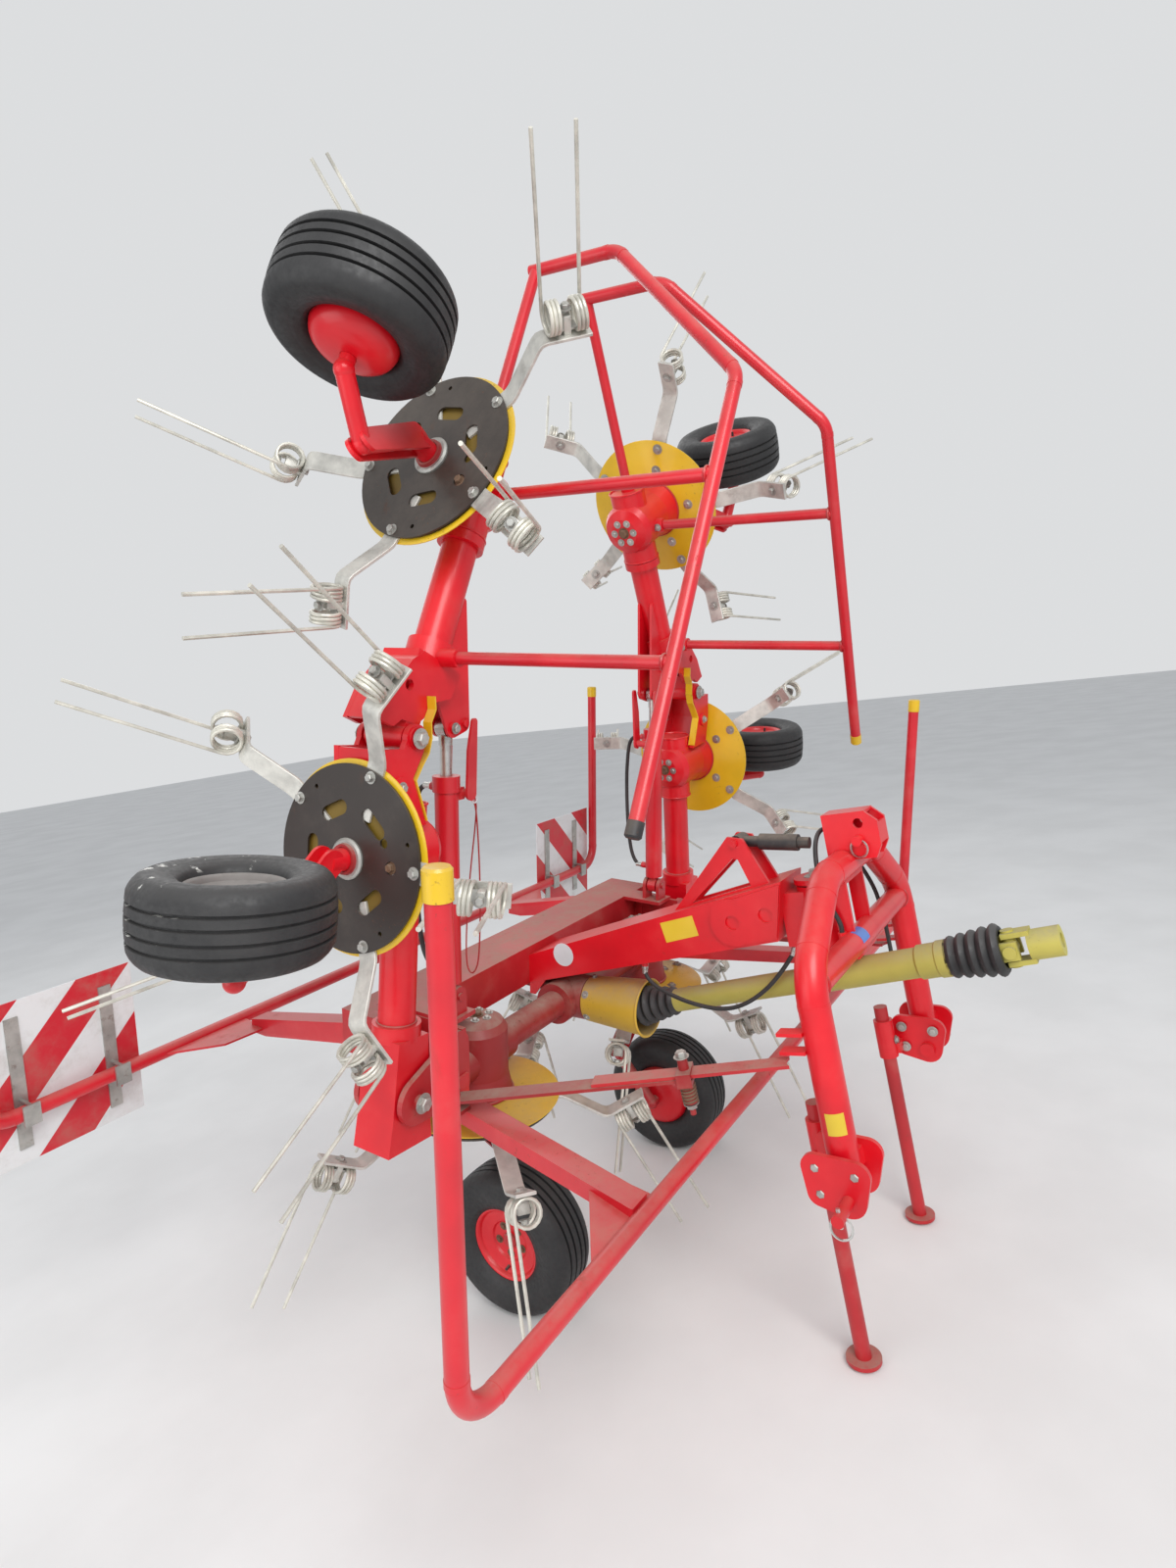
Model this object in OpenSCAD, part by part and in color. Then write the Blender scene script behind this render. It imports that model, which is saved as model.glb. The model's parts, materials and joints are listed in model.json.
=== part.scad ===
// Folded hay tedder: six tined rotors on a three-point frame, wings folded up for the road.
// The machine is laid out level, with Y pointing to its rear and X to its left.
// stance() then tips it nose down onto its two parking stands and its centre wheels.

/* [Stance] */
// Nose-down angle of the parked machine, in degrees
nose_down = 7.9; // [4:0.1:10]
// Shift of the whole machine along its length that centres its outline
stance_y = 367; // [300:1:420]

/* [Rotors] */
// Distance from one rotor's axis to the next
rotor_pitch = 920; // [900:2:960]
// Height of the drive line over the ground in work
drive_z = 750; // [720:2:780]
// Drop from the drive line to the upper disc's lower face
disc_drop = 157; // [145:1:175]
// Radius of the upper disc
disc_r = 222; // [200:2:240]
// Radius of the lower plate
plate_r = 212; // [190:2:220]
// Thickness of the discs
disc_t = 5; // [3:1:8]
// Tine arms on each rotor
arms = 5; // [5:1:6]
// Width of a tine arm
arm_w = 50; // [40:2:60]
// Thickness of a tine arm
arm_t = 8; // [6:1:12]
// Radius at which a tine arm is bent
arm_bend_r = 353; // [340:1:365]
// Drop of that bend below the disc
arm_bend_drop = 67; // [50:1:80]
// Length of the raised end of a tine arm
arm_end = 116; // [104:1:130]
// Angle of the raised end, and lean of the tines outward
tine_lean = 30; // [24:1:34]
// Radius of the tine wire
wire_r = 4.75; // [4:0.25:6]
// Mean radius of a tine coil
coil_r = 32; // [28:1:36]
// Width of one coil of the tine
coil_w = 38; // [30:1:42]
// Gap between the two coils of a tine
coil_gap = 20; // [16:1:26]
// Length of a tine from its coil to its tip
tine_len = 345; // [300:5:370]

/* [Wings] */
// Wing pivot's distance from the middle
pivot_x = 780; // [760:2:800]
// Angle of the inner wing from level when folded
fold_in = 96; // [90:1:98]
// Extra angle of the outer wing when folded
fold_out = 20; // [14:1:24]
// Hinge's distance beyond the inner wing's gearbox
hinge_out = 270; // [250:2:290]
// Hinge's drop below the drive line
hinge_drop = 45; // [30:1:60]
// Radius of the wing tubes
wing_tube_r = 45; // [38:1:50]
// Radius of the bearing houses on the pivots
eye_r = 62; // [55:1:70]
// Half width of those bearing houses
eye_half = 58; // [50:1:62]
// Radius of the pivot pins
pin_r = 17; // [14:0.5:20]
// Running clearance round a pin
pin_gap = 0.08; // [0.04:0.01:0.1]
// Free gap at the sides of a moving joint
side_gap = 6; // [5:1:9]
// Thickness of the pivot ears
ear_t = 15; // [12:1:18]

/* [Gearboxes] */
// Radius of a rotor gearbox
gear_r = 82; // [74:1:90]
// Height of a rotor gearbox over the drive line
gear_top = 74; // [60:1:84]

/* [Wheels] */
// Outer radius of the two ground tyres under the frame
tyre_r = 205; // [195:1:215]
// Outer radius of a wing's tyre
wing_tyre_r = 178; // [170:1:195]
// Width of a tyre
tyre_w = 160; // [140:2:170]
// Radius of the frame wheels' rims
rim_r = 102; // [95:1:110]
// Radius of the wing wheels' rims
wing_rim_r = 88; // [82:1:96]
// Wheel axle's place ahead of the rotor axis
wheel_ahead = 120; // [80:2:150]
// Drop from the drive line to the wheel axle
wheel_drop = 545; // [530:1:560]

/* [Fold cylinders] */
// Base pin's distance from the middle
ram_x = 565; // [550:1:574]
// Base pin's height
ram_z = 925; // [915:1:940]
// Radius of the barrel
barrel_r = 30; // [25:1:34]
// Length of the barrel from its base pin
barrel_len = 575; // [560:1:590]
// Radius of the rod
rod_r = 15; // [12:1:18]
// Rod pin's place along the outer wing
lever_u = 82; // [76:1:90]
// Rod pin's height over the hinge
lever_w = 167; // [160:1:174]
// Catch pin's place from the rod pin, along the wing
catch_u = 25; // [20:1:30]
// Catch pin's place from the rod pin, over the wing
catch_w = 32; // [28:1:36]

/* [Centre frame] */
// Half length of the cross beam
beam_half = 700; // [680:2:712]
// Depth of the cross beam
beam_w = 160; // [140:2:180]
// Height of the cross beam
beam_h = 120; // [100:2:130]
// Front face of the cross beam
beam_y = 100; // [96:1:110]
// Top face of the cross beam
beam_top = 876; // [870:1:884]
// Height of the centre drive tube's axis
tube_z = 712; // [706:1:716]
// Width of the boom
boom_w = 160; // [140:2:180]
// Height of the boom at the cross beam
boom_h = 92; // [84:1:110]
// Slope of the boom's top, in degrees
boom_rise = 24.2; // [22:0.1:26]
// Slope of the boom's underside, in degrees
boom_under = 19.9; // [19:0.1:22]
// Length of the boom ahead of the cross beam
boom_len = 808; // [800:2:812]

/* [Drive shaft] */
// Rise of the yellow cone, in degrees
cone_rise = 4; // [0:1:8]
// Length of the cone ahead of the gearbox
cone_len = 200; // [180:5:220]
// Shaft joint's distance from the gearbox's middle
joint_out = 250; // [240:2:280]
// Rise of the shaft to the tractor, in degrees
pto_rise = 21; // [18:1:22]
// Radius of the shaft's guard tube
guard_tube_r = 33; // [28:1:36]
// Radius of the bore in the free yoke
pto_bore_r = 17.5; // [16:0.25:20]

/* [Headstock] */
// Swivel axis ahead of the rotor line
swivel_y = -800; // [-820:2:-780]
// Height of the swivel's middle
swivel_z = 1120; // [1100:2:1140]
// Lean of the swivel axis, top to the rear
head_tilt = 13.5; // [11:0.5:15]
// Radius of the arch tubes
arch_r = 36; // [32:1:40]
// Half spread of the arch legs
arch_half = 405; // [390:1:420]
// Distance of the arch ahead of the swivel
arch_ahead = 88; // [80:1:100]
// Radius of the lower hitch pins
hitch_r = 14; // [13:0.5:18]
// Free length of the lower hitch pins
hitch_len = 80; // [60:2:90]
// Radius of the top link holes
link_r = 12.75; // [12:0.25:16]
// Radius of the stand tubes
stand_r = 19; // [16:1:22]
// Stand's distance from the middle
stand_x = 306; // [300:1:315]

/* [Guards] */
// Half width over the guard poles
guard_half = 1375; // [1360:5:1400]
// Guard tube's radius
guard_r = 19; // [16:1:22]
// Front guard's place
guard_front = -705; // [-725:1:-700]
// Rear guard's place
guard_rear = 768; // [755:1:790]
// Height of the guard tubes
guard_z = 702; // [690:1:720]
// Height of the poles
pole_top = 1562; // [1500:2:1600]
// Size of a square warning board
board = 423; // [400:1:430]
// Hoop tube's radius
hoop_r = 16; // [14:0.5:18]
// Hoop's front tube ahead of the rotor line
hoop_front = 655; // [650:1:668]

/* [Hoses] */
// Diameter of the cylinders' hoses
ram_hose_d = 13; // [11:1:16]
// Diameter of the hose on the headstock
head_hose_d = 12; // [10:1:14]
// Diameter of the pull cord
pull_cord_d = 4; // [3:0.5:6]

/* [Hidden] */
$fn = 48;
wheel_z = drive_z - wheel_drop;
rotor_x = rotor_pitch / 2;
rotor_in = 1.5 * rotor_pitch - pivot_x;
hinge_u = 1.5 * rotor_pitch + hinge_out - pivot_x;
rotor_out = 2.5 * rotor_pitch - pivot_x - hinge_u;
plate_drop = disc_drop + arm_t + disc_t;
coil_out = coil_r + wire_r;
ram_eye_gap = 4;
ear_y = eye_half + side_gap;
bolt_r = 10;
phase = 19.5;
// A rotor row: name, side, section (0 centre, 1 inner wing, 2 outer wing), phase of its arms,
// and the arm over the round hole
ROTORS = [
    ["rotor_right_1", -1, 0, phase, 0],
    ["rotor_right_2", -1, 1, -phase, 4],
    ["rotor_right_3", -1, 2, phase, 3],
    ["rotor_left_1", 1, 0, 36 + phase, 0],
    ["rotor_left_2", 1, 1, -36 - phase, 4],
    ["rotor_left_3", 1, 2, 36 + phase, 3]
];
// A wheel row: name, side, section
WHEELS = [
    ["wheel_right_1", -1, 0], ["wheel_right_2", -1, 1], ["wheel_right_3", -1, 2],
    ["wheel_left_1", 1, 0], ["wheel_left_2", 1, 1], ["wheel_left_3", 1, 2]
];
// A side row: word, side
SIDES = [["right", -1], ["left", 1]];

// Places and frames

module stance()
    translate([0, stance_y, 0])
    translate([0, -wheel_ahead, wheel_z])
    rotate([nose_down, 0, 0])
    translate([0, wheel_ahead, -wheel_z])
        children();

module side(s) mirror([s < 0 ? 1 : 0, 0, 0]) children();

module inner_wing(s)
    stance() side(s) translate([pivot_x, 0, drive_z]) rotate([0, -fold_in, 0]) children();

module outer_wing(s)
    inner_wing(s) translate([hinge_u, 0, -hinge_drop]) rotate([0, -fold_out, 0]) children();

// The drive line is the local X axis here, and the rotor's own axis is the local Z axis
module at_rotor(s, section) {
    if (section == 0) stance() side(s) translate([rotor_x, 0, drive_z]) children();
    if (section == 1) inner_wing(s) translate([rotor_in, 0, 0]) children();
    if (section == 2) outer_wing(s) translate([rotor_out, 0, hinge_drop]) children();
}

module head()
    stance() translate([0, swivel_y, swivel_z]) rotate([-head_tilt, 0, 0]) children();

// A plate in the Y-Z plane, t thick, its middle at x, drawn as [y, z]
module upright(t, x = 0)
    translate([x, 0, 0])
    rotate([90, 0, 90])
    linear_extrude(height = t, center = true)
        children();

// General shapes

// A round bar from a to b
module bar(a, b, r) {
    d = b - a;
    l = norm(d);
    translate(a)
    rotate([0, acos(d.z / l), atan2(d.y, d.x)])
        cylinder(r = r, h = l);
}

// A bent tube through points in the X-Y plane, each corner an arc of the given radius.
// A thin collar hides the seam where a straight length meets an arc.
collar = 6;
function turn(a, b, c) = let (u = b - a, v = c - b) atan2(u.x * v.y - u.y * v.x, u * v);
function setback(p, i, bend) =
    i <= 0 || i >= len(p) - 1 ? 0 : bend * tan(abs(turn(p[i - 1], p[i], p[i + 1])) / 2);
module pipe(p, bend, r)
    for (i = [0 : len(p) - 2]) {
        first = i == 0;
        last = i == len(p) - 2;
        d = (p[i + 1] - p[i]) / norm(p[i + 1] - p[i]);
        a = p[i] + d * setback(p, i, bend);
        b = p[i + 1] - d * setback(p, i + 1, bend);
        g = a + d * (first ? 0 : 1);
        h = b - d * (last ? 0 : 1);
        bar([g.x, g.y, 0], [h.x, h.y, 0], r);
        if (!first) bar([a.x - d.x * collar, a.y - d.y * collar, 0], [a.x + d.x * collar, a.y + d.y * collar, 0], r + 0.8);
        if (!last) {
            bar([b.x - d.x * collar, b.y - d.y * collar, 0], [b.x + d.x * collar, b.y + d.y * collar, 0], r + 0.8);
            angle = turn(p[i], p[i + 1], p[i + 2]);
            s = sign(angle);
            c = b + s * bend * [-d.y, d.x];
            translate([c.x, c.y, 0])
            rotate([0, 0, atan2(b.y - c.y, b.x - c.x) + min(0, angle)])
            rotate_extrude(angle = abs(angle))
                translate([bend, 0]) circle(r = r);
        }
    }

// The same in the X-Z plane at y
module pipe_xz(p, bend, r, y = 0) translate([0, y, 0]) rotate([90, 0, 0]) pipe(p, bend, r);

// A flat strip that follows points in the X-Z plane, t thick and w wide along Y
function left_of(a, b) = let (d = (b - a) / norm(b - a)) [-d.y, d.x];
function mitre(p, i) =
    i == 0 ? left_of(p[0], p[1]) :
    i == len(p) - 1 ? left_of(p[i - 1], p[i]) :
    let (m = left_of(p[i - 1], p[i]), n = left_of(p[i], p[i + 1])) (m + n) / (1 + m * n);
module strip(p, t, w)
    rotate([90, 0, 0])
    linear_extrude(height = w, center = true)
        polygon(concat(
            [for (i = [0 : len(p) - 1]) p[i] + mitre(p, i) * t / 2],
            [for (i = [len(p) - 1 : -1 : 0]) p[i] - mitre(p, i) * t / 2]
        ));

module along_x(r, l, x = 0) translate([x, 0, 0]) rotate([0, 90, 0]) cylinder(r = r, h = l);
module along_y(r, l) rotate([90, 0, 0]) cylinder(r = r, h = l, center = true);

// A plate in the X-Z plane round two or more circles, t thick, its middle at y
module link_plate(circles, t, y = 0)
    translate([0, y, 0])
    rotate([90, 0, 0])
    linear_extrude(height = t, center = true)
        hull() for (c = circles) translate([c.x, c.y]) circle(r = c.z, $fn = 32);

// Rotors

module rotor_discs(row) {
    color("gold")
    at_rotor(row[1], row[2])
    difference() {
        union() {
            translate([0, 0, -disc_drop]) cylinder(r = disc_r, h = disc_t);
            translate([0, 0, -plate_drop]) cylinder(r = plate_r, h = disc_t);
            translate([0, 0, -plate_drop]) cylinder(r = 92, h = plate_drop - disc_drop + 1);
        }
        translate([0, 0, -plate_drop - 1]) cylinder(r = axle_r + pin_gap, h = 60);
        // Slots and one round hole, in degrees from the arm that the round hole lies on
        rotate([0, 0, row[4] * 360 / arms + row[3]]) {
            for (a = slot_angles) rotate([0, 0, a]) translate([slot_at, 0, -plate_drop - 1]) plate_slot();
            translate([slot_at + 18, 0, -plate_drop - 1]) cylinder(r = 15, h = disc_t + 1);
        }
    }
}

axle_r = 26;
slot_angles = [50, 115, 180, 245, 310];
slot_at = 113;
slot_half = 17;
slot_len = 82;
module plate_slot()
    linear_extrude(height = disc_t + 1) {
        square([2 * slot_half, slot_len - 2 * slot_half], center = true);
        for (e = [-1, 1]) translate([0, e * (slot_len / 2 - slot_half)]) circle(r = slot_half);
    }

// One tine arm along local X, its flat part between the discs
arm_root_r = 100;
coil_seat = coil_out + arm_t / 2;
arm_line = [
    [arm_root_r, 0],
    [disc_r + 8, 0],
    [arm_bend_r, -arm_bend_drop],
    [arm_bend_r + arm_end * cos(tine_lean), -arm_bend_drop + arm_end * sin(tine_lean)]
];

module tine_arm() {
    translate([0, 0, -disc_drop - arm_t / 2]) {
        strip(arm_line, arm_t, arm_w);
        translate([arm_bend_r, 0, -arm_bend_drop])
        rotate([0, -tine_lean, 0])
        translate([arm_end * 0.54, 0, -coil_seat]) {
            double_tine();
            translate([0, 0, coil_seat / 2 - 6]) cube([coil_gap + 2, 34, coil_seat + 12], center = true);
        }
    }
}

// Coils along local X, tines along local -Z
module double_tine()
    for (e = [-1, 1]) {
        translate([e * (coil_gap + coil_w) / 2, 0, 0])
        difference() {
            rotate([0, 90, 0]) cylinder(r = coil_out, h = coil_w, center = true);
            rotate([0, 90, 0]) cylinder(r = coil_r - wire_r, h = coil_w + 2, center = true);
        }
        translate([e * (coil_gap / 2 + coil_w - wire_r), coil_r, -tine_len]) cylinder(r = wire_r, h = tine_len, $fn = 24);
    }

module rotor_tines(row) {
    color("lightgray")
    at_rotor(row[1], row[2])
    for (i = [0 : arms - 1]) rotate([0, 0, i * 360 / arms + row[3]]) tine_arm();
}

// A gearbox house round the rotor axis, with the drive line along local X
gear_foot = -disc_drop + disc_t + 6;
module gearbox(tube_drop = 0) {
    rotate_extrude()
        polygon([
            [0, gear_foot], [gear_r + 12, gear_foot], [gear_r, gear_foot + 58], [gear_r, gear_top - 34],
            [gear_r - 12, gear_top - 14], [gear_r - 38, gear_top], [0, gear_top]
        ]);
    translate([0, 0, -tube_drop]) along_x(56, 220, -110);
}

// Wheel carriers: a fixed stub under the rotor, an arm forward and a leg beside the tyre
// A leg row, by section: wheel's offset from the rotor axis, and the knee of the leg
LEGS = [
    [0, [-tyre_w / 2 - 47, 20, 160 - wheel_drop]],
    [-35, [-tyre_w / 2 - 82, 20, 160 - wheel_drop]],
    [45, [-176, -110, 97 - wheel_drop]]
];
dome = 20;
leg_r = 19;
leg_low = plate_drop + 60;
module wheel_leg(section, top = -disc_drop + 30) {
    wheel_u = LEGS[section][0];
    knee = LEGS[section][1];
    reach = norm([knee.x, knee.y]);
    elbow = [wheel_u - tyre_w / 2 - dome - leg_r - 8, -wheel_ahead, -wheel_drop];
    translate([0, 0, -leg_low]) cylinder(r = axle_r, h = leg_low + top);
    // Two plates that clasp the foot of the rotor's stub and the head of the leg
    rotate([0, 0, atan2(knee.y, knee.x)]) {
        for (e = [-1, 1]) link_plate([[0, -leg_low - 2, 32], [reach, knee.z, 24]], 8, e * (leg_r - 1));
        bar([reach / 2, 0, (knee.z - leg_low) / 2], [reach, 0, knee.z], leg_r);
    }
    translate(knee) sphere(r = leg_r + 1.5);
    bar(knee, elbow, leg_r);
    translate(elbow) sphere(r = leg_r + 1.5);
    translate(elbow) along_x(hub_r, wheel_u - elbow.x);
}
hub_r = 16;

function tyre_radius(row) = row[2] == 0 ? tyre_r : wing_tyre_r;
function rim_radius(row) = row[2] == 0 ? rim_r : wing_rim_r;
module at_wheel(row)
    at_rotor(row[1], row[2])
    translate([LEGS[row[2]][0], -wheel_ahead, -wheel_drop])
    rotate([0, 90, 0])
        children();

module tyre(row) {
    h = tyre_w / 2;
    r = tyre_radius(row);
    bead = rim_radius(row);
    color("dimgray")
    at_wheel(row)
    rotate_extrude()
        polygon([
            [bead + 1, -h * 0.72], [bead + 16, -h * 0.88], [r * 0.74, -h], [r * 0.86, -h * 0.97],
            [r * 0.94, -h * 0.84], [r * 0.985, -h * 0.62], [r, -h * 0.3], [r, h * 0.3],
            [r * 0.985, h * 0.62], [r * 0.94, h * 0.84], [r * 0.86, h * 0.97], [r * 0.74, h],
            [bead + 16, h * 0.88], [bead + 1, h * 0.72]
        ]);
}

// Domed on the leg's side, dished on the other
module rim(row) {
    h = tyre_w / 2;
    r = rim_radius(row);
    color("red")
    at_wheel(row)
    difference() {
        rotate_extrude()
            polygon([
                [0, -h - dome], [r * 0.3, -h - dome], [r * 0.62, -h - dome * 0.72], [r - 14, -h - 4],
                [r - 5, -h * 0.88], [r + 0.5, -h * 0.71], [r + 0.5, h * 0.71], [r - 8, h * 0.7],
                [r - 16, h * 0.42], [r * 0.62, h * 0.36], [r * 0.52, h * 0.22], [0, h * 0.22]
            ]);
        translate([0, 0, -h - dome - 4]) cylinder(r = hub_r + pin_gap, h = h + dome + 16);
    }
}

// Wings

// The inner wing, its bearing house flared toward the cross beam
eye_foot = 122;
eye_flare = 74;
house_end = 200;
boss_r = 24;
boss_bore = 13;
boss_u = 110;
boss_w = -47;
module inner_arm(s) {
    color("red")
    inner_wing(s) {
        difference() {
            union() {
                rotate([90, 0, 0])
                linear_extrude(height = 2 * eye_half, center = true)
                    polygon([[-eye_foot, -eye_flare], [-eye_foot, eye_flare], [-30, eye_r], [150, 50], [150, -50],
                        [-30, -eye_r]]);
                along_x(wing_tube_r + 14, 40, 140);
                along_x(wing_tube_r, hinge_u - house_end - 115, 120);
                translate([rotor_in, 0, 0]) gearbox();
                hinge_house_inner();
            }
            along_y(pin_r + pin_gap, 2 * eye_half + 2);
            translate([hinge_u - boss_u, 0, boss_w - hinge_drop]) along_y(boss_bore, 2 * (ear_y + ear_t + 8));
        }
        translate([rotor_in, 0, 0]) wheel_leg(1);
    }
}

// Side of a hinge house, drawn from the hinge as [along the wing, over it]
house_in = [[-24, -100], [-110, -96], [-house_end, -68], [-house_end, 40], [-90, -8], [-30, 24], [0, 28], [0, -30],
    [-24, -40]];
house_out = [[6, -104], [84, -94], [168, -58], [house_end, -30], [house_end, 108], [132, 96], [100, 40], [56, 26],
    [34, 8], [30, -40], [6, -60]];

// The inner wing's house: two ears, the outboard wall and the end plate
module hinge_house_inner() {
    translate([hinge_u, 0, -hinge_drop]) {
        for (e = [-1, 1]) translate([0, e * (ear_y + ear_t / 2), 0]) {
            rotate([90, 0, 0]) linear_extrude(height = ear_t, center = true) polygon(house_in);
            along_y(32, ear_t);
            translate([0, e * ear_t / 2, 0]) along_y(26, 12);
            translate([-boss_u, e * ear_t / 2, boss_w]) along_y(boss_r, 12);
        }
        strip([[-26, -95], [-111, -91], [-house_end, -63]], 9, 2 * ear_y + 2);
        translate([-house_end, -ear_y - 1, -68]) cube([12, 2 * ear_y + 2, 100]);
        along_y(pin_r, 2 * (ear_y + ear_t + 10));
    }
}

// The outer wing's house: two plates between the ears, the outboard wall, and the tube's root
module hinge_house_outer() {
    difference() {
        union() {
            for (e = [-1, 1]) translate([0, e * (eye_half - 7), 0])
                rotate([90, 0, 0]) linear_extrude(height = 14, center = true) polygon(house_out);
            strip([[8, -99], [85, -89], [167, -53], [house_end, -25]], 9, 2 * eye_half - 4);
            translate([150, -eye_half + 2, -46]) cube([50, 2 * eye_half - 4, 150]);
            along_y(30, 2 * eye_half);
            translate([14, -eye_half + 1, -24]) cube([60, 2 * eye_half - 2, 44]);
        }
        translate([boss_u, 0, boss_w]) along_y(boss_bore, 2 * eye_half + 2);
        along_y(pin_r + pin_gap, 2 * eye_half + 2);
    }
}

module outer_arm(s) {
    color("red")
    outer_wing(s) {
        hinge_house_outer();
        translate([0, 0, hinge_drop]) {
            along_x(wing_tube_r + 13, 60, 190);
            along_x(wing_tube_r, rotor_out - 240, 240);
            along_x(wing_tube_r + 13, 24, rotor_out - 140);
            translate([rotor_out, 0, 0]) gearbox();
            translate([rotor_out, 0, 0]) wheel_leg(2);
        }
        hoop_seats();
        lever();
    }
}

// Two plates that carry the fold cylinder's rod eye on two short studs
lever_gap = 15 + ram_eye_gap;
module lever()
    for (e = [-1, 1]) {
        link_plate([[lever_u, lever_w, 24], [lever_u + catch_u, lever_w + catch_w, 22], [150, hinge_drop + 42, 20],
            [380, hinge_drop + 38, 10]], 8, e * (lever_gap + 4));
        translate([lever_u, e * (lever_gap + 11), lever_w]) along_y(bolt_r + 4, 6.4);
        translate([lever_u + catch_u, e * (lever_gap + 12), lever_w + catch_w]) along_y(9, 10);
    }

hoop_w = 36;
hoop_low = 212;
hoop_high = rotor_out - 10;
hoop_top = 1315;
hoop_seat = eye_half + 46;
module hoop_seats() {
    for (u = [hoop_low, hoop_high])
        translate([u, -hoop_seat, hoop_w]) rotate([-90, 0, 0]) cylinder(r = hoop_r + 6, h = hoop_seat);
    translate([rotor_out, 0, hoop_w]) along_x(hoop_r + 6, 130);
}

module hoop(s) {
    color("red")
    outer_wing(s)
    translate([0, 0, hoop_w]) {
        pipe([[-147, -hoop_front], [888, -hoop_front], [hoop_top, -247], [hoop_top, hoop_r]], 70, hoop_r);
        bar([hoop_top, 0, 0], [rotor_out + 130.3, 0, 0], hoop_r - 1);
        for (u = [hoop_low, hoop_high]) bar([u, -hoop_front, 0], [u, -hoop_seat - 0.3, 0], hoop_r - 1);
    }
}

// A wavy yellow shield over the hinge, in two strips that leave the lever free
shield_line = [[-190, 38.8], [-96, -2.2], [-62, 18], [-34, 38], [0, 46], [36, 42], [66, 56], [96, 52]];
module hinge_guard(s) {
    color("gold")
    inner_wing(s)
    translate([hinge_u, 0, -hinge_drop])
    for (e = [-1, 1]) translate([0, e * (ear_y + 7), 0]) strip(shield_line, 4, 24);
}

// Fold cylinders, drawn along local Z from the base pin

rod_pin = let (a = fold_in, b = fold_in + fold_out)
    [pivot_x + hinge_u * cos(a) + hinge_drop * sin(a) + lever_u * cos(b) - lever_w * sin(b),
        drive_z + hinge_u * sin(a) - hinge_drop * cos(a) + lever_u * sin(b) + lever_w * cos(b)];
ram_line = rod_pin - [ram_x, ram_z];
ram_lean = atan2(ram_line.x, ram_line.y);

module at_ram(s)
    stance() side(s) translate([ram_x, 0, ram_z]) rotate([0, ram_lean, 0]) children();

hook_x = barrel_r + 16;
hook_y = 41;
port_low = 70;
port_high = barrel_len - 30;
port_end = barrel_r + 18;
module ram_barrel(s) {
    color("red")
    at_ram(s)
    difference() {
        union() {
            along_y(26, 30);
            translate([0, 0, 34]) cylinder(r = barrel_r, h = barrel_len - 34);
            cylinder(r = 14, h = 40);
            translate([0, 0, barrel_len - 40]) cylinder(r = barrel_r + 5, h = 40);
            // Transport hook on the inboard side
            translate([-hook_x, 0, barrel_len - 48]) along_y(12, 2 * hook_y + 7);
            translate([-hook_x, -20, barrel_len - 64]) cube([hook_x, 40, 32]);
            for (e = [-1, 1])
                link_plate([[-hook_x, barrel_len - 48, 18], [-hook_x - 6, barrel_len + 60, 17],
                    [-hook_x - 16, barrel_len + 132, 10]], 7, e * hook_y);
            // Oil ports on the rear side
            for (z = [port_low, port_high]) translate([0, barrel_r - 6, z]) rotate([-90, 0, 0]) cylinder(r = 11, h = 24);
        }
        along_y(bolt_r + pin_gap, 40);
        translate([0, 0, 60]) cylinder(r = rod_r + pin_gap, h = barrel_len);
    }
}

module ram_rod(s) {
    color("silver")
    at_ram(s) {
        translate([0, 0, 90]) cylinder(r = rod_r, h = norm(ram_line) - 110);
        translate([0, 0, norm(ram_line)])
        difference() {
            union() {
                along_y(24, 30);
                translate([0, 0, -44]) cylinder(r = 17, h = 30);
            }
            along_y(bolt_r + 1, 40);
        }
    }
}

// Hoses and cords: a round tube swept along a route, its rings turned with the route

function unit(v) = v / norm(v);
function heading(p, i) = unit(p[min(i + 1, len(p) - 1)] - p[max(i - 1, 0)]);
function square_to(v, t) = unit(v - t * (v * t));
function ring_sides(p, v, i = 0) =
    i == len(p) ? [] : let (u = square_to(v, heading(p, i))) concat([u], ring_sides(p, u, i + 1));
module cord(p, d, v = [1, 0, 0], sides = 10) {
    u = ring_sides(p, v);
    last = len(p) - 1;
    polyhedron(
        points = [for (i = [0 : last]) for (k = [0 : sides - 1])
            let (a = k * 360 / sides) p[i] + d / 2 * (cos(a) * u[i] + sin(a) * cross(heading(p, i), u[i]))],
        faces = concat(
            [[for (k = [0 : sides - 1]) k]],
            [for (i = [0 : last - 1]) for (k = [0 : sides - 1])
                let (n = (k + 1) % sides) [i * sides + k, (i + 1) * sides + k, (i + 1) * sides + n, i * sides + n]],
            [[for (k = [sides - 1 : -1 : 0]) last * sides + k]]
        )
    );
}

// A cylinder's hose, in its barrel's frame, from the upper port to the lower one
ram_hose_route = [
    [0, 48, 545], [0, 64, 545], [0, 82, 538], [0, 95, 520], [0, 102, 488], [0, 106, 450], [0, 109, 410],
    [0, 110, 365], [0, 110, 320], [0, 109, 275], [0, 107, 232], [0, 104, 190], [0, 99, 150],
    [0, 92, 115], [0, 80, 86], [0, 64, 70], [0, 48, 70]
];
module ram_hose(s) {
    color("black")
    at_ram(s) cord(ram_hose_route, ram_hose_d);
}

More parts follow.
